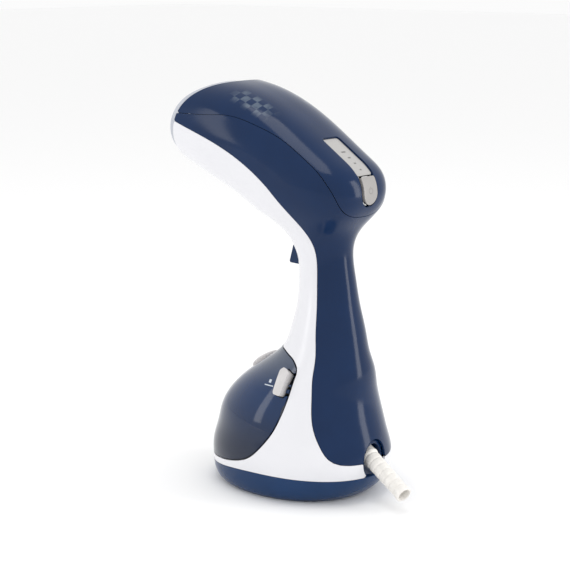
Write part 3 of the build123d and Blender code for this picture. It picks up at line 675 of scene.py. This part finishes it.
@dataclass
class Skin:
    """A moulded wall cut out of the body's surface where a field is above 0.

    One face lies on the surface and its border rolls over with a small radius. The normals point into the body,
    so the wall grows outwards by its depth and a lift moves it inwards.
    """

    surface: BodySurface
    area: Field
    depth: float = 2.2
    edge: float = 0.45
    lift: float = 0.0
    gap: float = 0.12
    window: tuple[float, float, float, float] = (-9.9, 405.0, 0.0, 2 * math.pi)
    step: float = 1.25
    columns: int = 224

    def build(self, name: str) -> bpy.types.Object:
        """Cuts the grid along the field's zero line and makes the wall.

        Each cell keeps the part where the field is above 0 (the sixteen cases of its corners). A new point on
        a cell's side lies where the field is 0, found by weighing its ends twice. The border's rings follow
        point + outward way * radius sin a - normal * radius (1 - cos a), and the far face is the first one
        moved against its normals.

        Args:
            name: the piece's name.

        Returns:
            The piece.
        """
        low, high, first, last = self.window
        high = min(high, self.surface.length)
        whole = last - first > 6.2
        us = np.linspace(low, high, int((high - low) / self.step) + 2)
        vs = np.linspace(first, last, self.columns, endpoint=not whole)
        rows, columns = len(us), len(vs)
        u, v = (m.ravel() for m in np.meshgrid(us, vs, indexing="ij"))
        value = self.measure(u, v)
        cells = columns if whole else columns - 1
        i, j = (m.ravel() for m in np.meshgrid(np.arange(rows - 1), np.arange(cells), indexing="ij"))
        after = (j + 1) % columns
        a, b, c, d = i * columns + j, (i + 1) * columns + j, (i + 1) * columns + after, i * columns + after
        total = rows * columns
        tokens = np.stack([a, b, c, d, total + a, 2 * total + b, total + d, 2 * total + a])
        inside = value > 0
        case = inside[a] + 2 * inside[b] + 4 * inside[c] + 8 * inside[d]
        faces = [tokens[list(face)][:, case == code].T for code, many in CASES.items() for face in many]
        faces = [f for f in faces if len(f)]
        used = np.unique(np.concatenate([f.ravel() for f in faces]))
        on_u, on_v = used[(used >= total) & (used < 2 * total)] - total, used[used >= 2 * total] - 2 * total
        v_next = np.where((on_v + 1) % columns == 0, on_v + 1 - columns, on_v + 1)
        turn = (last - first) / (columns if whole else columns - 1)
        cut_u = self.crossing(u[on_u], v[on_u], value[on_u], us[1] - us[0], 0.0, value[(on_u + columns) % total])
        cut_v = self.crossing(u[on_v], v[on_v], value[on_v], 0.0, turn, value[v_next])
        kept = used[used < total]
        pu = np.concatenate([u[kept], cut_u[0], cut_v[0]])
        pv = np.concatenate([v[kept], cut_u[1], cut_v[1]])
        outside, way_out = self.surface.place(pu, pv), self.surface.normal(pu, pv)
        outside = outside + way_out * self.lift
        faces = [np.searchsorted(used, f)[:, ::-1] for f in faces]
        return self.wall(name, outside, way_out, faces, len(kept))

    def measure(self, u: np.ndarray, v: np.ndarray) -> np.ndarray:
        """The field less the room for the gap and the rolled border."""
        return self.area(self.surface.place(u, v)) - self.gap - self.edge

    def crossing(
        self, u: np.ndarray, v: np.ndarray, start: np.ndarray, du: float, dv: float, end: np.ndarray
    ) -> tuple[np.ndarray, np.ndarray]:
        """Where the field is 0 between two neighbouring grid points.

        Args:
            u: first point's way along.
            v: first point's angle.
            start: the field there.
            du: step to the second point.
            dv: turn to the second point.
            end: the field at the second point.

        Returns:
            The ways along and the angles.
        """
        low, high = np.zeros_like(u), np.ones_like(u)
        share = start / (start - end)
        for _ in range(2):
            middle = self.measure(u + du * share, v + dv * share)
            same = (middle > 0) == (start > 0)
            low, start = np.where(same, share, low), np.where(same, middle, start)
            high, end = np.where(same, high, share), np.where(same, end, middle)
            share = low + (high - low) * start / np.where(start == end, 1, start - end)
        return u + du * share, v + dv * share

    def wall(
        self, name: str, outside: np.ndarray, way_out: np.ndarray, faces: list[np.ndarray], kept: int
    ) -> bpy.types.Object:
        """Adds the rolled border and the far face to the cut one.

        Args:
            name: the piece's name.
            outside: the cut surface's points.
            way_out: their normals.
            faces: arrays of polygons.
            kept: how many points are grid points; those after them lie on the cut.

        Returns:
            The piece.
        """
        size = len(outside)
        sides = np.concatenate([np.column_stack([f.ravel(), np.roll(f, -1, axis=1).ravel()]) for f in faces])
        sides = sides[(sides[:, 0] != sides[:, 1])]
        code, back = sides[:, 0] * size + sides[:, 1], sides[:, 1] * size + sides[:, 0]
        border = sides[~np.isin(code, back)]
        border = border[(border >= kept).any(1)]
        rim, index = np.unique(border.ravel(), return_inverse=True)
        index = index.reshape(-1, 2)
        base, normal = outside[rim], way_out[rim]
        steps = np.eye(3) * 0.05
        slope = np.column_stack([self.area(base + s) - self.area(base - s) for s in steps]) / 0.1
        flat = slope - (slope * normal).sum(1)[:, None] * normal
        size_flat = np.linalg.norm(flat, axis=1)
        outward = -flat / np.maximum(size_flat, 1e-9)[:, None]
        reach = self.edge / np.clip(size_flat, 0.6, 1.0)
        points, blocks = [outside], []
        for angle in np.radians([30, 60, 90]):
            sway = outward * (reach * math.sin(angle))[:, None] - normal * (self.edge * (1 - math.cos(angle)))
            blocks.append(base + sway)
        blocks.append(base + outward * reach[:, None] - normal * self.depth)
        quads, previous, start = [], rim, size
        for block in blocks:
            current = np.arange(len(rim)) + start
            quads.append(np.column_stack([previous[index[:, 1]], previous[index[:, 0]],
                                          current[index[:, 0]], current[index[:, 1]]]))
            points.append(block)
            previous, start = current, start + len(rim)
        points.append(outside - way_out * self.depth)
        inner = rim + start
        quads.append(np.column_stack([previous[index[:, 1]], previous[index[:, 0]],
                                      inner[index[:, 0]], inner[index[:, 1]]]))
        reverse = [f[:, ::-1] + start for f in faces]
        return make_piece(name, np.vstack(points), [*faces, *quads, *reverse])


# ---------------------------------------------------------------- mesh helpers
def make_piece(
    name: str, points: np.ndarray, faces: Sequence[np.ndarray], crease: float = 42.0
) -> bpy.types.Object:
    """Puts points in millimetres and arrays of polygons into a smooth-shaded mesh object.

    Args:
        name: the piece's name.
        points: rows of x, y, z.
        faces: arrays with one polygon to a row.
        crease: angle in degrees over which an edge stays sharp.

    Returns:
        The object, linked to the scene.
    """
    mesh = bpy.data.meshes.new(name)
    mesh.from_pydata((points * MM).tolist(), [], [row for f in faces for row in f.tolist()])
    mesh.validate()
    cleaner = bmesh.new()
    cleaner.from_mesh(mesh)
    bmesh.ops.remove_doubles(cleaner, verts=cleaner.verts, dist=0.000002)
    cleaner.to_mesh(mesh)
    cleaner.free()
    mesh.shade_smooth()
    mesh.set_sharp_from_angle(angle=math.radians(crease))
    made = bpy.data.objects.new(name, mesh)
    bpy.context.scene.collection.objects.link(made)
    return made


def grid_faces(rows: int, columns: int, closed: bool) -> np.ndarray:
    """Quads of a grid whose points are counted row by row; closed joins the last column to the first."""
    cells = columns - (not closed)
    i, j = (m.ravel() for m in np.meshgrid(np.arange(rows - 1), np.arange(cells), indexing="ij"))
    after, low, high = (j + 1) % columns, i * columns, (i + 1) * columns
    return np.column_stack([low + j, low + after, high + after, high + j])


@dataclass(frozen=True)
class Axis:
    """A line that turned pieces stand on: from a point of the side view, with its rise and its yaw to the left."""

    y: float
    z: float
    rise: float
    yaw: float = 0.0

    @property
    def along(self) -> np.ndarray:
        """The line's direction."""
        level = math.cos(self.rise)
        return np.array([level * math.sin(self.yaw), level * math.cos(self.yaw), math.sin(self.rise)])

    @property
    def sideways(self) -> np.ndarray:
        """The level direction square to the line."""
        return np.array([math.cos(self.yaw), -math.sin(self.yaw), 0.0])

    @property
    def across(self) -> np.ndarray:
        """The direction square to the line and to sideways."""
        return np.cross(self.sideways, self.along)

    def height(self, place: np.ndarray) -> np.ndarray:
        """How far points are along the line."""
        return (place - [0.0, self.y, self.z]) @ self.along

    def radius(self, place: np.ndarray) -> np.ndarray:
        """How far points are from the line."""
        off = (place - [0.0, self.y, self.z])
        return np.linalg.norm(off - np.outer(off @ self.along, self.along), axis=1)

    def turned(
        self, name: str, profile: Sequence[tuple[float, float]], columns: int = 96,
        flutes: Callable[[np.ndarray, np.ndarray], np.ndarray] | None = None, crease: float = 42.0,
    ) -> bpy.types.Object:
        """A turned piece: the point at (height, radius) and angle t is height along the line plus radius round it.

        Args:
            name: the piece's name.
            profile: heights and radii, in order; the first and last are poles.
            columns: points round it.
            flutes: change of radius for heights and angles.
            crease: angle in degrees over which an edge stays sharp.

        Returns:
            The piece.
        """
        rows = np.asarray(profile, float)
        t = np.linspace(0, 2 * math.pi, columns, endpoint=False)
        height, radius = np.repeat(rows[:, 0], columns), np.repeat(rows[:, 1], columns)
        angle = np.tile(t, len(rows))
        if flutes is not None:
            radius = radius + flutes(height, angle)
        points = (
            np.array([0.0, self.y, self.z]) + np.outer(height, self.along)
            + np.outer(np.cos(angle) * radius, self.sideways) + np.outer(np.sin(angle) * radius, self.across)
        )
        return make_piece(name, points, [grid_faces(len(rows), columns, True)], crease)


def rounded_profile(
    profile: Sequence[tuple[float, float]], radius: float, steps: int = 4
) -> list[tuple[float, float]]:
    """Rounds a profile's corners: each becomes a short curve between two points a radius away from it.

    Args:
        profile: the corner points.
        radius: how far from the corner the curve starts, at most half a side.
        steps: points of each curve.

    Returns:
        The finer profile.
    """
    rows = np.asarray(profile, float)
    out = [tuple(rows[0])]
    for before, corner, after in zip(rows[:-2], rows[1:-1], rows[2:]):
        to_before, to_after = before - corner, after - corner
        reach = min(radius, np.linalg.norm(to_before) * 0.45, np.linalg.norm(to_after) * 0.45)
        start = corner + to_before / max(np.linalg.norm(to_before), 1e-9) * reach
        end = corner + to_after / max(np.linalg.norm(to_after), 1e-9) * reach
        for share in np.linspace(0, 1, steps):
            out.append(tuple((1 - share) ** 2 * start + 2 * share * (1 - share) * corner + share**2 * end))
    out.append(tuple(rows[-1]))
    return out


def smooth_copy(node: bpy.types.Object, bevel: float = 0.0) -> bpy.types.Object:
    """A merged, smooth-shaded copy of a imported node, with its flat faces joined and its edges softened.

    Args:
        node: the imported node.
        bevel: width of the softened edges in millimetres.

    Returns:
        The copy.
    """
    mesh = node.data.copy()
    mesh.name = node.name + "_look"
    cleaner = bmesh.new()
    cleaner.from_mesh(mesh)
    bmesh.ops.remove_doubles(cleaner, verts=cleaner.verts, dist=0.000003)
    if bevel:
        bmesh.ops.dissolve_limit(cleaner, angle_limit=math.radians(1), verts=cleaner.verts, edges=cleaner.edges)
    cleaner.to_mesh(mesh)
    cleaner.free()
    mesh.shade_smooth()
    mesh.set_sharp_from_angle(angle=math.radians(32))
    made = bpy.data.objects.new(node.name + "_look", mesh)
    bpy.context.scene.collection.objects.link(made)
    if bevel:
        modifier = made.modifiers.new("soft edges", "BEVEL")
        modifier.width = bevel * MM
        modifier.segments = 3
        modifier.limit_method = "ANGLE"
        modifier.angle_limit = math.radians(35)
        modifier.harden_normals = False
    return made


# ---------------------------------------------------------------- sub-assemblies
@dataclass
class Steamer:
    """What every sub-assembly shares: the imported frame, the finishes and the lines that part the casing."""

    frame: dict
    wardrobe: Wardrobe
    surface: BodySurface = field(default_factory=BodySurface)
    handle: Parting = field(default_factory=lambda: Parting((
        (-99, 283), (-77, 275.5), (-47, 265.5), (-25, 255.5), (-2, 239.5), (15, 223), (27, 204.5), (31, 183),
        (33, 158), (37.5, 116), (41, 88), (45, 62), (52, 45), (61, 34), (80, 31))))
    cover: Parting = field(default_factory=lambda: Parting((
        (-99, 284), (-75, 284), (-54, 284), (-34, 284), (-11, 278), (8, 270), (34, 254), (47, 244.5),
        (55, 234), (58, 222), (60, 213), (75, 208))))
    foot: Parting = field(default_factory=lambda: Parting((
        (-85, 12.5), (-50, 15.5), (-16, 20), (0, 21.2), (40, 21.2), (85, 20))))
    dock: Parting = field(default_factory=lambda: Parting((
        (27.5, 97), (25.3, 78), (19.3, 56), (11.4, 43.6), (0.5, 33), (-12, 28), (-43, 22.5), (-85, 18))))
    latch: Parting = field(default_factory=lambda: Parting((
        (20.5, 98), (25.2, 96), (22.2, 79.5), (16.2, 80.5), (17.8, 96)), closed=True))
    roof: Parting = field(default_factory=lambda: Parting((
        (-85, 109), (-30, 108.9), (2, 108.9), (8, 108.6), (13.7, 107.2), (21, 104.4), (28, 98), (33, 93))))
    plate: tuple[tuple[float, float], ...] = ((-66, 306.5), (-90, 277), (-86, 243))
    rim_depth: float = 4.5
    cord: Axis = Axis(68.1, 33.8, math.radians(-25.5), math.radians(13))
    cap: Axis = Axis(-31.5, 88.5, math.radians(125))

    def wear(self, piece: bpy.types.Object, finish: str, body: str, slot: str, *nodes: str) -> bpy.types.Object:
        """Dresses a piece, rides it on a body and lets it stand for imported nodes."""
        self.wardrobe.dress(piece, finish)
        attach(piece, body)
        if nodes:
            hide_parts(*nodes)
        LOG.info("%s: %d faces on %s", piece.name, len(piece.data.polygons), body)
        return piece

    def copy_node(self, name: str, finish: str, slot: str, bevel: float = 0.0) -> bpy.types.Object:
        """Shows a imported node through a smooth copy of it."""
        node = self.frame["nodes"][name]
        return self.wear(smooth_copy(node, bevel), finish, node["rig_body"], slot, name)

    def sheet(self, name: str, path: np.ndarray, margin: float, turned: bool) -> bpy.types.Object:
        """A sheet that carries a path of the side view across the body's width.

        Args:
            name: the piece's name.
            path: rows of y, z.
            margin: how far its sides stay inside the surface.
            turned: reverses its faces.

        Returns:
            The sheet.
        """
        columns = 41
        width = np.maximum(self.surface.half_width(path) - margin, 0.0)
        points = np.column_stack([
            np.outer(width, np.linspace(-1, 1, columns)).ravel(), np.repeat(path[:, 0], columns),
            np.repeat(path[:, 1], columns)])
        faces = grid_faces(len(path), columns, False)
        return make_piece(name, points, [faces[:, ::-1] if turned else faces])

    def behind_rim(self, place: np.ndarray) -> np.ndarray:
        """How far points are behind the head's rim, whose face is an arc through three points of the side view."""
        (ay, az), (by, bz), (cy, cz) = self.plate
        system = 2 * np.array([[by - ay, bz - az], [cy - ay, cz - az]])
        centre = np.linalg.solve(system, [by**2 + bz**2 - ay**2 - az**2, cy**2 + cz**2 - ay**2 - az**2])
        radius = math.hypot(ay - centre[0], az - centre[1])
        off = place[:, 1:] - centre
        inside = radius - self.rim_depth - np.linalg.norm(off, axis=1)
        near = (place[:, 2] > 225) & (place[:, 1] < centre[0])
        return np.where(near, inside, 60.0)

    def in_tank(self, place: np.ndarray) -> np.ndarray:
        """How far points are inside the tank's outline."""
        return both(1.5, -self.dock.side(place), -self.roof.side(place))

    def clear_of_cord(self, place: np.ndarray) -> np.ndarray:
        """How far points are outside the round cord socket."""
        return np.where(self.cord.height(place) > -14, self.cord.radius(place) - 12.0, 60.0)


@dataclass
class Casing(Steamer):
    """The white front shell, the blue rear shell, the top cover and the foot."""

    slot_middle: float = 180.7
    slot_half: tuple[float, float] = (6.8, 9.7)

    def front_area(self, place: np.ndarray) -> np.ndarray:
        """The white shell: before the handle's parting line, over the foot, outside tank, slot and socket."""
        x, z = place[:, 0], place[:, 2]
        slot = np.maximum(np.abs(x) - self.slot_half[0], np.abs(z - self.slot_middle) - self.slot_half[1])
        slot = np.where(place[:, 1] < 16, slot, 60.0)
        return np.minimum.reduce([
            both(1.0, -self.handle.side(place), self.foot.side(place)), -self.in_tank(place) - 0.9,
            self.behind_rim(place), slot, self.clear_of_cord(place),
        ])

    def rear_area(self, place: np.ndarray) -> np.ndarray:
        """The blue shell: behind the handle's parting line and under the top cover."""
        return np.minimum.reduce([
            self.handle.side(place), -self.cover.side(place), self.behind_rim(place), self.clear_of_cord(place),
        ])

    def top_area(self, place: np.ndarray) -> np.ndarray:
        """The top cover: over its parting line, outside the panel and the button's ring."""
        return np.minimum.reduce([
            self.cover.side(place), self.behind_rim(place), -Controls.panel_area(place) - 0.6,
            -Controls.button_area(place) - 1.6,
        ])

    def build(self) -> None:
        """Makes the four casing pieces and dresses the nodes that belong to them."""
        front = Skin(self.surface, self.front_area).build("front_casing")
        self.wear(front, "white_shell", "housing", "white_shell", "front_shell")
        rear = Skin(self.surface, self.rear_area, lift=-0.15).build("rear_casing")
        self.wear(rear, "navy_shell", "housing", "navy_shell", "rear_shell")
        top = Skin(self.surface, self.top_area, edge=0.6).build("head_cover")
        self.wear(top, "printed_cover", "housing", "navy_shell", "top_cover")
        foot = Skin(self.surface, lambda p: -self.foot.side(p)).build("foot")
        self.wear(foot, "base_blue", "housing", "base_blue", "base_cover")
        self.copy_node("cord_socket", "navy_shell", "navy_shell")
        self.build_dock()

    def build_dock(self) -> None:
        """The wall behind the tank: the dock's line, moved back a little, carried across the body's width."""
        line = self.dock.line[1:-1]
        roof = self.roof.line[(self.roof.line[:, 0] > -12) & (self.roof.line[:, 0] < 26.5)]
        path = np.vstack([roof + [0.3, 0.7], line[line[:, 1] < 98] + [0.7, -0.4]])
        self.wear(self.sheet("dock_wall", path, 1.2, False), "inner_white", "housing", "inner_white")


@dataclass
class Tank(Steamer):
    """The tinted water tank with its fill cap and two latches."""

    def tank_area(self, place: np.ndarray) -> np.ndarray:
        """The tank's outside, less the latches' openings and the filler's."""
        neck = np.where(self.cap.height(place) > -12, self.cap.radius(place) - 11.9, 60.0)
        return np.minimum.reduce([self.in_tank(place), -self.latch.side(place) - 0.6, neck])

    def build(self) -> None:
        """Makes the tank, its back wall, its neck, cap and latches."""
        shell = Skin(self.surface, self.tank_area, depth=2.2, edge=0.7).build("tank_shell")
        self.wear(shell, "tank_tint", "tank", "tank_tint", "water_tank")
        line = self.dock.line[1:-1] + [-0.5, 0.5]
        roof = self.roof.line[(self.roof.line[:, 0] > -12) & (self.roof.line[:, 0] < 26.0)]
        path = np.vstack([roof - [0.3, 0.6], line[line[:, 1] < 98]])
        self.wear(self.sheet("tank_back", path, 0.5, True), "tank_tint", "tank", "tank_tint")
        self.build_neck()
        for side, name in ((Side.LEFT, "latch_left"), (Side.RIGHT, "latch_right")):
            self.build_latch(side, name)

    def build_neck(self) -> None:
        """The collar that the fill cap covers, the cap's fluted skirt, its dome and its stem."""
        collar = rounded_profile([(-9, 9.0), (1.7, 9.0), (1.7, 12.0), (-9, 12.0), (-9, 9.0)], 0.4)
        self.wear(self.cap.turned("tank_neck", collar), "tank_tint", "tank", "tank_tint")
        outline = [(-5, 0.01), (-5, 8.6), (2, 8.6), (2, 12.3), (4.6, 12.3), (5.6, 11.4), (6.6, 9.0), (7.2, 5.0),
                   (7.4, 0.01)]

        def flutes(height: np.ndarray, angle: np.ndarray) -> np.ndarray:
            """Shallow grip flutes round the skirt only."""
            skirt = np.clip((height - 2.0) / 0.4, 0, 1) * np.clip((5.0 - height) / 0.8, 0, 1)
            return 0.28 * (np.cos(28 * angle) - 0.4) * skirt

        cap = self.cap.turned("filler_cap", rounded_profile(outline, 0.6), 224, flutes)
        self.wear(cap, "latch_grey", "cap", "latch_grey", "fill_cap")

    def build_latch(self, side: Side, name: str) -> None:
        """A latch button: the body's surface inside its outline, with a deep wall."""
        def area(place: np.ndarray) -> np.ndarray:
            """Inside the outline on one side of the tank."""
            return both(1.2, self.latch.side(place), place[:, 0] * side.value - 20)

        middle = math.pi / 2 if side is Side.LEFT else 3 * math.pi / 2
        skin = Skin(self.surface, area, depth=9.0, edge=0.9, lift=0.95, gap=0.05,
                    window=(60, 130, middle - 0.9, middle + 0.9), step=0.5, columns=160)
        self.wear(skin.build(name + "_button"), "latch_grey", name, "latch_grey", name)


@dataclass
class Controls(Steamer):
    """The control panel, its lights, the power button in its ring, and the trigger."""

    @staticmethod
    def panel_area(place: np.ndarray) -> np.ndarray:
        """Inside the panel: a long rounded rectangle in the plane through its two ends."""
        start, end = np.array([27.5, 267.5]), np.array([60.2, 244.0])
        way = (end - start) / np.linalg.norm(end - start)
        off = place[:, 1:] - (start + end) / 2
        along, out = np.abs(off @ way), off @ np.array([-way[1], way[0]])
        inside = both(2.0, 8.75 - np.abs(place[:, 0]), np.linalg.norm(end - start) / 2 - along)
        return np.where(np.abs(out) < 10, inside, -60.0)

    @staticmethod
    def button_area(place: np.ndarray) -> np.ndarray:
        """Inside the button: square at the top and half round at the foot."""
        tilt = math.radians(8)
        off = place[:, 1:] - [63.0, 233.5]
        out, up = off @ [math.cos(tilt), math.sin(tilt)], off @ [-math.sin(tilt), math.cos(tilt)]
        low = np.minimum(up + 1.75, 0)
        round_foot = 7.5 - np.hypot(place[:, 0], low)
        inside = both(1.2, round_foot, 9.25 - up)
        return np.where(np.abs(out) < 12, inside, -60.0)

    def build(self) -> None:
        """Makes the panel, the ring and the button, and dresses the trigger."""
        window = (228.0, 318.0, -0.85, 0.85)
        panel = Skin(self.surface, self.panel_area, depth=1.1, edge=0.35, gap=0.05, lift=0.1, window=window,
                     step=0.5, columns=180)
        self.wear(panel.build("panel_face"), "silver_panel", "housing", "silver_panel", "control_panel")

        def frame_area(place: np.ndarray) -> np.ndarray:
            """A narrow band round the panel, open at the ring."""
            inside = self.panel_area(place)
            return np.minimum.reduce([inside + 0.6, -inside, -self.button_area(place) - 1.6])

        border = Skin(self.surface, frame_area, depth=1.0, edge=0.15, gap=0.0, lift=0.25, window=window, step=0.35,
                      columns=260)
        self.wear(border.build("panel_border"), "chrome", "housing", "chrome")

        def ring_area(place: np.ndarray) -> np.ndarray:
            """A band round the button's outline."""
            inside = self.button_area(place)
            return np.minimum(inside + 1.6, -inside - 0.5)

        ring = Skin(self.surface, ring_area, depth=1.2, edge=0.4, gap=0.0, lift=0.6, window=window, step=0.4,
                    columns=220)
        self.wear(ring.build("button_bezel"), "chrome", "housing", "chrome", "button_ring")
        button = Skin(self.surface, self.button_area, depth=3.5, edge=0.5, gap=0.0, lift=0.4, window=window,
                      step=0.5, columns=180)
        self.wear(button.build("button_cap"), "silver_button", "button", "silver_panel", "power_button")
        self.copy_node("trigger", "navy_trim", "navy_trim", 0.7)


@dataclass
class SteamHead(Steamer):
    """The rim and the steam plate at the front of the head."""

    def build(self) -> None:
        """Dresses the rim and the plate."""
        self.copy_node("plate_rim", "rim_grey", "rim_grey")
        self.copy_node("steam_plate", "steam_plate", "steam_plate")


@dataclass
class CordOutlet(Steamer):
    """The ribbed boot that the cord leaves through."""

    length: float = 46.0
    root_radius: float = 6.6
    end_radius: float = 6.0
    bore: float = 4.7
    grooves: int = 7

    def build(self) -> None:
        """Turns the boot: a tapered sleeve with grooves, a thicker lip at the end and an open bore."""
        start, end = -11.0, self.length
        heights = np.linspace(start, end, 260)
        share = np.clip(heights / end, 0, 1)
        outer = self.root_radius + (self.end_radius - self.root_radius) * share
        places = np.linspace(3.5, end - 6.5, self.grooves)
        outer = outer - 0.55 * np.exp(-(((heights[:, None] - places) / 0.75) ** 2)).sum(1)
        outer = outer + 0.3 / (1 + np.exp(-(heights - (end - 3.5)) * 3))
        outer = outer + 0.5 * np.exp(-(((heights - 1.0) / 1.6) ** 2))
        outer = outer - 0.5 * np.clip((heights - (end - 0.8)) / 0.8, 0, 1) ** 2
        flank = list(zip(heights, outer))
        bottom = end - 24
        mouth = [(end - 0.1, self.bore + 0.25), (end - 0.5, self.bore), (bottom, self.bore), (bottom, 0.01)]
        boot = self.cord.turned("boot", [(start, 0.01), *flank, *mouth], 96, crease=50)
        self.wear(boot, "boot_white", "housing", "boot_white", "cord_boot")


class Insides:
    """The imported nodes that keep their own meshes."""

    def __init__(self, frame: dict, wardrobe: Wardrobe) -> None:
        """Keeps the frame and the finishes."""
        self.frame = frame
        self.wardrobe = wardrobe

    def build(self) -> None:
        """Gives each shown node the finish that its material slot names."""
        slots = {entry["node"]: entry["material_slot"] for entry in self.frame["record"]["subparts"]}
        for name, node in self.frame["nodes"].items():
            if not node.hide_render:
                self.wardrobe.dress(node, slots[name])
                LOG.info("%s wears %s", name, slots[name])


# ---------------------------------------------------------------- studio
@dataclass
class Studio:
    """The pale floor, the soft lights and the camera."""

    eye: tuple[float, float, float] = (0.8981, 0.7654, 0.400)
    aim: tuple[float, float, float] = (0.0, -0.01533, 0.150)
    lens: float = 99.84

    def light(self, name: str, place: Sequence[float], aim: Sequence[float], size: tuple[float, float],
              power: float) -> None:
        """Adds one rectangular soft light that looks at a point."""
        data = bpy.data.lights.new(name, "AREA")
        data.shape = "RECTANGLE"
        data.size, data.size_y, data.energy = size[0], size[1], power
        lamp = bpy.data.objects.new(name, data)
        lamp.location = place
        lamp.rotation_mode = "QUATERNION"
        lamp.rotation_quaternion = (Vector(aim) - Vector(place)).to_track_quat("-Z", "Y")
        bpy.context.scene.collection.objects.link(lamp)

    def build(self) -> None:
        """Lays the floor, hangs the lights, sets the world and the camera."""
        scene = bpy.context.scene
        mesh = bpy.data.meshes.new("floor")
        corners = [(-9, -9, 0), (9, -9, 0), (9, 9, 0), (-9, 9, 0)]
        mesh.from_pydata(corners, [], [(0, 1, 2, 3)])
        floor = bpy.data.objects.new("floor", mesh)
        scene.collection.objects.link(floor)
        shader = Shader("floor")
        shader.set(Base_Color=(0.97, 0.97, 0.97), Roughness=0.9)
        mesh.materials.append(shader.material)
        self.light("overhead", (0.1, 0.1, 1.6), (0, 0, 0.15), (0.5, 0.9), 4)
        self.light("left window", (1.3, -0.9, 0.7), (0, 0, 0.15), (0.3, 1.2), 3)
        self.light("right window", (-0.75, 1.25, 0.5), (0, 0, 0.18), (0.35, 1.2), 6)
        world = bpy.data.worlds.new("studio")
        world.use_nodes = True
        back = world.node_tree.nodes["Background"]
        back.inputs[0].default_value = (1, 1, 1, 1)
        back.inputs[1].default_value = 0.97
        scene.world = world
        data = bpy.data.cameras.new("camera")
        data.lens, data.sensor_width = self.lens, 36.0
        data.shift_y = 0.0065
        camera = bpy.data.objects.new("camera", data)
        camera.location = self.eye
        camera.rotation_mode = "QUATERNION"
        camera.rotation_quaternion = (Vector(self.aim) - Vector(self.eye)).to_track_quat("-Z", "Y")
        scene.collection.objects.link(camera)
        scene.camera = camera
        scene.view_settings.view_transform = "Standard"


def main() -> None:
    """Builds the steamer's sub-assemblies in order, then the studio."""
    logging.basicConfig(level=logging.INFO, format="%(name)s: %(message)s")
    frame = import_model()
    wardrobe = Wardrobe()
    for part in (Casing, Tank, Controls, SteamHead, CordOutlet):
        part(frame, wardrobe).build()
    Insides(frame, wardrobe).build()
    Studio().build()


if __name__ == "__main__":
    main()
